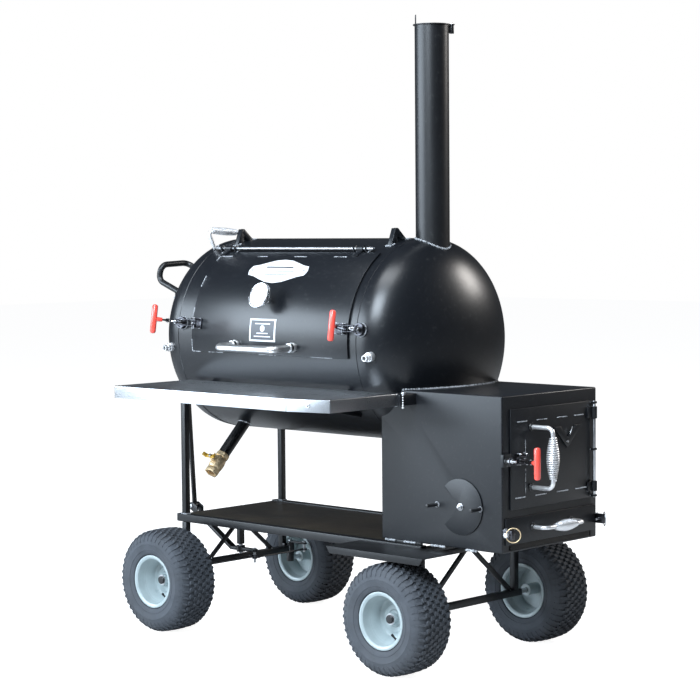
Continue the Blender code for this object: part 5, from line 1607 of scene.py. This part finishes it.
def build_steering():
    x, level = LEFT_AXLE, 0.277
    pin_x = x + 0.0826
    drawbar = Piece("drawbar_fork")
    eye = turned(
        [(0.0180, -0.0125), (0.0180, 0.0125), (0.0090, 0.0125), (0.0090, -0.0125)],
        (x, 0, level),
        steps=36,
        closed=True,
    )
    drawbar.add(FRAME_BLACK, eye)
    for start, end in ((x + 0.014, pin_x), (x - 0.050, x - 0.012)):
        wide = 0.011 if end > x else 0.015
        drawbar.add(FRAME_BLACK, block((start, -wide, level - 0.007), (end, wide, level + 0.006), 0.0015))
    drawbar.add(FRAME_BLACK, rod((pin_x, 0, level - 0.0065), (pin_x, 0, level + 0.0055), 0.0130, 0.0012))
    drawbar.add(PIN, rod((pin_x, 0, level - 0.050), (pin_x, 0, level + 0.0095), 0.0050, 0.0012))
    drawbar.add(PIN, rod((pin_x, 0, level + 0.0050), (pin_x, 0, level + 0.0105), 0.0085, 0.0010, 6))
    drawbar.add(
        FRAME_BLACK,
        bar(
            (x - 0.046, 0, level - 0.001),
            (TONGUE.x + 0.030, 0, TONGUE.z - 0.028),
            0.030,
            0.013,
            edge=0.0018,
        ),
    )
    right = TONGUE.x + 0.034
    for side in (-1, 1):
        y = side * 0.0165
        ear = [(right, TONGUE.z - 0.040), (right, TONGUE.z)] + arc((TONGUE.x, TONGUE.z), 0.016, 60, 250, 14)
        drawbar.add(FRAME_BLACK, plate(ear, y - 0.0025, y + 0.0025, "Y", 0.0006))
        drawbar.add(
            PIN,
            rod(
                (TONGUE.x, side * 0.0188, TONGUE.z), (TONGUE.x, side * 0.0235, TONGUE.z), 0.0085, 0.0010, 6
            ),
        )
    drawbar.add(
        FRAME_BLACK,
        block(
            (TONGUE.x + 0.010, -0.018, TONGUE.z - 0.039), (right - 0.001, 0.018, TONGUE.z - 0.022), 0.0012
        ),
    )
    drawbar.add(PIN, rod((TONGUE.x, -0.022, TONGUE.z), (TONGUE.x, 0.022, TONGUE.z), 0.0050))
    drawbar.done("steering_drawbar", "black_paint", "steering_drawbar")

    top = Vector((TONGUE.x - 0.042, 0, 1.030))
    tongue = Piece("pull_bar")
    boss = turned(
        [(0.0130, -0.0125), (0.0130, 0.0125), (0.0060, 0.0125), (0.0060, -0.0125)],
        TONGUE,
        (0, 1, 0),
        36,
        closed=True,
    )
    up = (top - TONGUE).normalized()
    tongue.add(FRAME_BLACK, boss, bar(TONGUE + up * 0.011, top, 0.020, 0.010, edge=0.0018))
    tongue.add(FRAME_BLACK, rod(top - Vector((0, 0.060, 0)), top + Vector((0, 0.060, 0)), 0.0100, 0.0030))
    tongue.add(
        WELD,
        weld([top + Vector((0.006, -0.009, -0.010)), top + Vector((0.006, 0.009, -0.010))], 0.0026, 0.004),
    )
    tongue.done("pull_tongue", "black_paint", "pull_tongue")

    for name, side in (("front", -1), ("back", 1)):
        y = side * 0.2875
        knuckle = Piece(f"steering_knuckle_{name}")
        knuckle.add(FRAME_BLACK, rod((x, y, 0.2670), (x, y, 0.2760), 0.0120, 0.0015))
        knuckle.add(PIN, rod((x, y, 0.1900), (x, y, 0.2790), 0.0090, 0.0015))
        knuckle.add(FRAME_BLACK, rod((x, y, 0.1880), (x, y, 0.2220), 0.0150, 0.0015))
        knuckle.add(PIN, rod((x, y, WHEEL_RADIUS), (x, side * 0.4344, WHEEL_RADIUS), 0.0095, 0.0015))
        knuckle.add(FRAME_BLACK, block((x, y - 0.0100, 0.2680), (pin_x, y + 0.0100, 0.2755), 0.0012))
        knuckle.add(FRAME_BLACK, rod((pin_x, y, 0.2685), (pin_x, y, 0.2750), 0.0110, 0.0010))
        knuckle.add(PIN, rod((pin_x, y, 0.2350), (pin_x, y, 0.2780), 0.0050, 0.0010))
        knuckle.add(PIN, rod((pin_x, y, 0.2752), (pin_x, y, 0.2810), 0.0085, 0.0010, 6))
        knuckle.done(f"knuckle_{name}", "black_paint", f"knuckle_{name}")
        level = 0.2560 if side < 0 else 0.2470
        tie = Piece(f"steering_link_{name}")
        for end in (0, y):
            ring = [(0.0115, -0.0035), (0.0115, 0.0035), (0.0058, 0.0035), (0.0058, -0.0035)]
            tie.add(ZINC, turned(ring, (pin_x, end, level), steps=32, closed=True))
        tie.add(
            FRAME_BLACK,
            rod((pin_x, side * 0.0100, level), (pin_x, y - side * 0.0100, level), 0.0032, sides=16),
        )
        for end in (side * 0.024, y - side * 0.024):
            tie.add(ZINC, rod((pin_x, end - 0.006, level), (pin_x, end + 0.006, level), 0.0048, 0.0006, 6))
        tie.done(f"tie_rod_{name}", "dark_zinc", f"tie_rod_{name}")


# ---------------------------------------------------------------- wheels
TYRE_SKIN = [
    (0.0905, 0.0700), (0.0940, 0.0748), (0.1040, 0.0765), (0.1075, 0.0800), (0.1085, 0.0855), (0.1150, 0.0895),
    (0.1300, 0.0930), (0.1450, 0.0938), (0.1490, 0.0950), (0.1530, 0.0930), (0.1650, 0.0905), (0.1780, 0.0850),
    (0.1870, 0.0760), (0.1920, 0.0640), (0.1940, 0.0500), (0.1955, 0.0250), (0.1958, 0.0),
]  # fmt: skip
RIM_SKIN = [
    (0.0000, 0.0060), (0.0240, 0.0060), (0.0300, 0.0060), (0.0330, 0.0085), (0.0480, 0.0085), (0.0520, 0.0050),
    (0.0660, 0.0040), (0.0715, 0.0060), (0.0745, 0.0120), (0.0762, 0.0360), (0.0840, 0.0470), (0.0868, 0.0560),
    (0.0880, 0.0720), (0.0900, 0.0800), (0.0955, 0.0838), (0.1010, 0.0850), (0.1042, 0.0838), (0.1045, 0.0812),
    (0.1010, 0.0790), (0.0950, 0.0770), (0.0895, 0.0700), (0.0885, 0.0560), (0.0780, 0.0360),
]  # fmt: skip
SIDEWALL_RING = [(0.1235, 0.0908), (0.1248, 0.0932), (0.1266, 0.0932), (0.1280, 0.0908)]


def turf_block(centre, tangent, outward, across, size):
    """One arched tread block with sloping flanks."""
    long, wide, tall = size
    bm = bmesh.new()
    outline = [
        (-0.5, -0.42), (-0.22, -0.30), (0.22, -0.30), (0.5, -0.42), (0.5, 0.16), (0.22, 0.40),
        (-0.22, 0.40), (-0.5, 0.16),
    ]
    verts = [bm.verts.new((a * long, b * wide, 0)) for a, b in outline]
    face = bm.faces.new(verts)
    grown = bmesh.ops.extrude_face_region(bm, geom=[face])["geom"]
    top = [g for g in grown if isinstance(g, bmesh.types.BMVert)]
    bmesh.ops.translate(bm, vec=(0, 0, tall), verts=top)
    bmesh.ops.scale(bm, vec=(0.86, 0.80, 1.0), verts=top)
    clean(bm)
    bm.transform(Matrix.Translation(centre) @ Matrix((across, tangent, outward)).transposed().to_4x4())
    return bm


def build_tread():
    """Blocks and shoulder lugs of one tyre, about the world's Z axis at the origin."""
    tread = bmesh.new()
    count = 46
    rows = ((0.0098, 0.0175, 0.0), (0.0300, 0.0180, 0.5), (0.0510, 0.0185, 0.0))
    shapes = []
    for side in (-1, 1):
        for height, width, phase in rows:
            radius = 0.2030 - 0.0022 * (height / 0.051) ** 2
            base = 0.1945 - 0.0014 * (height / 0.051) ** 2
            for i in range(count):
                turn = 2 * pi * (i + phase + (0.5 if side > 0 else 0.0)) / count
                out = Vector((cos(turn), sin(turn), 0))
                tangent = Vector((-sin(turn), cos(turn), 0))
                spot = out * base + Vector((0, 0, side * height))
                shapes.append(
                    turf_block(spot, tangent, out, tangent.cross(out), (width, 0.0215, radius - base))
                )
        for i in range(count):
            turn = 2 * pi * (i + 0.25) / count
            out = Vector((cos(turn), sin(turn), 0))
            tangent = Vector((-sin(turn), cos(turn), 0))
            lean = (out * 0.80 + Vector((0, 0, side * 0.60))).normalized()
            spot = out * 0.1865 + Vector((0, 0, side * 0.0700))
            shapes.append(turf_block(spot, tangent, lean, tangent.cross(lean), (0.026, 0.0150, 0.0070)))
            lean = (out * 0.42 + Vector((0, 0, side * 0.9075))).normalized()
            spot = out * 0.1710 + Vector((0, 0, side * 0.0860))
            shapes.append(turf_block(spot, tangent, lean, tangent.cross(lean), (0.024, 0.0085, 0.0034)))
    for bm in shapes:
        pour(bm, tread)
    keep = bpy.data.meshes.new("tread")
    tread.to_mesh(keep)
    tread.free()
    return keep


def build_wheels():
    tread = build_tread()
    for name, x, side in (
        ("front_left", LEFT_AXLE, -1),
        ("back_left", LEFT_AXLE, 1),
        ("front_right", RIGHT_AXLE, -1),
        ("back_right", RIGHT_AXLE, 1),
    ):
        centre, out = Vector((x, side * 0.3994, WHEEL_RADIUS)), Vector((0, side, 0))
        mirrored = [(radius, -height) for radius, height in TYRE_SKIN[-2::-1]]
        tyre = Piece(f"turf_tyre_{name}").add(
            RUBBER, turned(TYRE_SKIN + mirrored, centre, out, 120, closed=True)
        )
        for face in (1, -1):
            ring = [(r, face * h) for r, h in SIDEWALL_RING]
            tyre.add(RUBBER, turned(ring, centre, out, 96, closed=True))
        blocks = bmesh.new()
        blocks.from_mesh(tread)
        tyre.add(RUBBER, blocks, place=Matrix.Translation(centre) @ facing(out))
        tyre.done(f"wheel_{name}", "tyre_rubber", f"tyre_{name}")

        rim = Piece(f"steel_rim_{name}")
        profile = RIM_SKIN + [
            (0.0780, 0.0000), (0.0740, -0.0010), (0.0660, 0.0000), (0.0500, 0.0010), (0.0, 0.0010)
        ]
        rim.add(RIM, turned(profile, centre, out, 120))
        back = [
            (0.0762, 0.0100), (0.0762, -0.0360), (0.0840, -0.0470), (0.0868, -0.0560), (0.0880, -0.0720),
            (0.0900, -0.0800),
        ]
        back += [
            (0.0955, -0.0838), (0.1010, -0.0850), (0.1042, -0.0838), (0.1045, -0.0812), (0.1010, -0.0790),
            (0.0950, -0.0770),
        ]
        back += [(0.0895, -0.0700), (0.0885, -0.0560), (0.0785, -0.0360), (0.0785, 0.0100)]
        rim.add(RIM, turned(back, centre, out, 96, closed=True))
        tube = [
            (0.0225, 0.0055), (0.0225, 0.0290), (0.0212, 0.0310), (0.0110, 0.0310), (0.0110, -0.0600),
            (0.0225, -0.0600),
        ]
        rim.add(RIM, turned(tube, centre, out, 48, closed=True))
        rim.add(
            RIM,
            turned(
                [(0.0225, 0.0080), (0.0290, 0.0085), (0.0262, 0.0105), (0.0225, 0.0120)],
                centre,
                out,
                48,
                closed=True,
            ),
        )
        washer = [(0.0100, 0.0310), (0.0205, 0.0310), (0.0205, 0.0330), (0.0100, 0.0330)]
        rim.add(PIN, turned(washer, centre, out, 40, closed=True))
        cap = [
            (0, 0.0325), (0.0150, 0.0325), (0.0155, 0.0340), (0.0155, 0.0385), (0.0135, 0.0408),
            (0.0070, 0.0415), (0, 0.0415),
        ]
        rim.add(HUB, turned(cap, centre, out, 40))
        turn = radians(-62 if side < 0 else 62)
        radial = Vector((cos(turn), 0, sin(turn)))
        root = centre + radial * 0.0800 + out * 0.040
        lean = (out * 0.55 - radial).normalized()
        rim.add(HUB, rod(root + lean * -0.004, root + lean * 0.009, 0.0062, 0.0012, 20, tip=0.0045))
        rim.add(HUB, rod(root + lean * 0.008, root + lean * 0.026, 0.0036, 0.0008, 16))
        rim.add(HUB, rod(root + lean * 0.020, root + lean * 0.030, 0.0046, 0.0010, 16))
        rim.done(f"wheel_{name}", "rim_grey", f"rim_{name}")
    bpy.data.meshes.remove(tread)


# ---------------------------------------------------------------- studio
def soft_light(name, place, target, wide, tall, watts, tint=(1, 1, 1)):
    data = bpy.data.lights.new(name, "AREA")
    data.shape, data.size, data.size_y = "RECTANGLE", wide, tall
    data.energy, data.color = watts, tint
    lamp = bpy.data.objects.new(name, data)
    bpy.context.scene.collection.objects.link(lamp)
    place, target = Vector(place), Vector(target)
    aim = (target - place).to_track_quat("-Z", "Y").to_matrix().to_4x4()
    lamp.matrix_world = Matrix.Translation(place) @ aim
    return lamp


def build_studio():
    floor = bmesh.new()
    bmesh.ops.create_grid(floor, x_segments=1, y_segments=1, size=30.0)
    mesh = bpy.data.meshes.new("studio_floor")
    floor.to_mesh(mesh)
    floor.free()
    pale = Finish("studio_floor_paint", (0.62, 0.62, 0.62), 0.9)
    pale.set("Emission Color", (1.0, 1.0, 1.0, 1.0))
    seen_straight = Wire(pale, pale.node("ShaderNodeLightPath").outputs["Is Camera Ray"])
    pale.set("Emission Strength", seen_straight * 0.90 + 0.04)
    mesh.materials.append(pale.made)
    ground = bpy.data.objects.new("studio_floor", mesh)
    ground.location = (0, 0, -0.0005)
    bpy.context.scene.collection.objects.link(ground)

    world = bpy.data.worlds.new("studio_air")
    bpy.context.scene.world = world
    world.use_nodes = True
    tree = world.node_tree
    tree.nodes.clear()
    out = tree.nodes.new("ShaderNodeOutputWorld")
    seen, around = tree.nodes.new("ShaderNodeBackground"), tree.nodes.new("ShaderNodeBackground")
    seen.inputs["Color"].default_value = (1, 1, 1, 1)
    seen.inputs["Strength"].default_value = 1.0
    around.inputs["Color"].default_value = (0.80, 0.88, 1.0, 1)
    around.inputs["Strength"].default_value = 0.07
    mix, path = tree.nodes.new("ShaderNodeMixShader"), tree.nodes.new("ShaderNodeLightPath")
    tree.links.new(path.outputs["Is Camera Ray"], mix.inputs[0])
    tree.links.new(around.outputs[0], mix.inputs[1])
    tree.links.new(seen.outputs[0], mix.inputs[2])
    tree.links.new(mix.outputs[0], out.inputs["Surface"])

    soft_light("front_softbox", (-5.0, -6.4, 3.2), (0.0, -0.3, 1.2), 7.6, 3.0, 800, (0.76, 0.88, 1.0))
    soft_light("low_softbox", (-4.4, -5.4, 0.75), (0.2, 0.0, 0.6), 4.0, 1.2, 60, (0.80, 0.90, 1.0))
    soft_light("top_softbox", (0.6, -1.6, 5.4), (0.2, 0.0, 1.0), 3.0, 1.6, 130, (0.90, 0.95, 1.0))
    soft_light("head_softbox", (1.3, -3.7, 4.0), (0.5, 0.0, 1.3), 2.2, 2.0, 330, (0.78, 0.89, 1.0))
    soft_light("back_softbox", (2.9, 5.6, 3.9), (0.2, 0.0, 1.1), 1.6, 1.8, 170, (1.0, 0.96, 0.92))
    bpy.context.scene.view_settings.view_transform = "Standard"


def build_camera():
    data = bpy.data.cameras.new("studio_camera")
    data.lens, data.sensor_width = 103.68, 36.0
    camera = bpy.data.objects.new("studio_camera", data)
    bpy.context.scene.collection.objects.link(camera)
    yaw, pitch, roll = 0.7585, 0.0604, -0.0079
    ahead = Vector((-sin(yaw) * cos(pitch), cos(yaw) * cos(pitch), -sin(pitch)))
    right = Vector((cos(yaw), sin(yaw), 0))
    up = right.cross(ahead)
    right, up = right * cos(roll) + up * sin(roll), up * cos(roll) - right * sin(roll)
    turn = Matrix((right, up, -ahead)).transposed().to_4x4()
    camera.matrix_world = Matrix.Translation((5.2793, -5.54325, 1.590)) @ turn
    bpy.context.scene.camera = camera


build_camera()
build_tank()
build_stack()
build_inside()
build_drain()
build_lid()
build_fittings()
build_clamp("lid_clamp_left", surface_frame(LID_LEFT, 8.1, (-1, 0, 0)), "lid")
build_clamp("lid_clamp_right", surface_frame(LID_RIGHT, 8.1, (1, 0, 0)), "lid")
build_firebox()
build_door()
door_face = Matrix.Translation((DOOR_FACE + 0.0004, -0.2095, 0.782)) @ Matrix(
    ((0, 0, 1), (-1, 0, 0), (0, -1, 0))
).to_4x4()
build_clamp("firebox_clamp", door_face, "firebox_door")
build_damper()
build_drawer()
build_table()
build_chassis()
build_axles()
build_steering()
build_wheels()
build_studio()
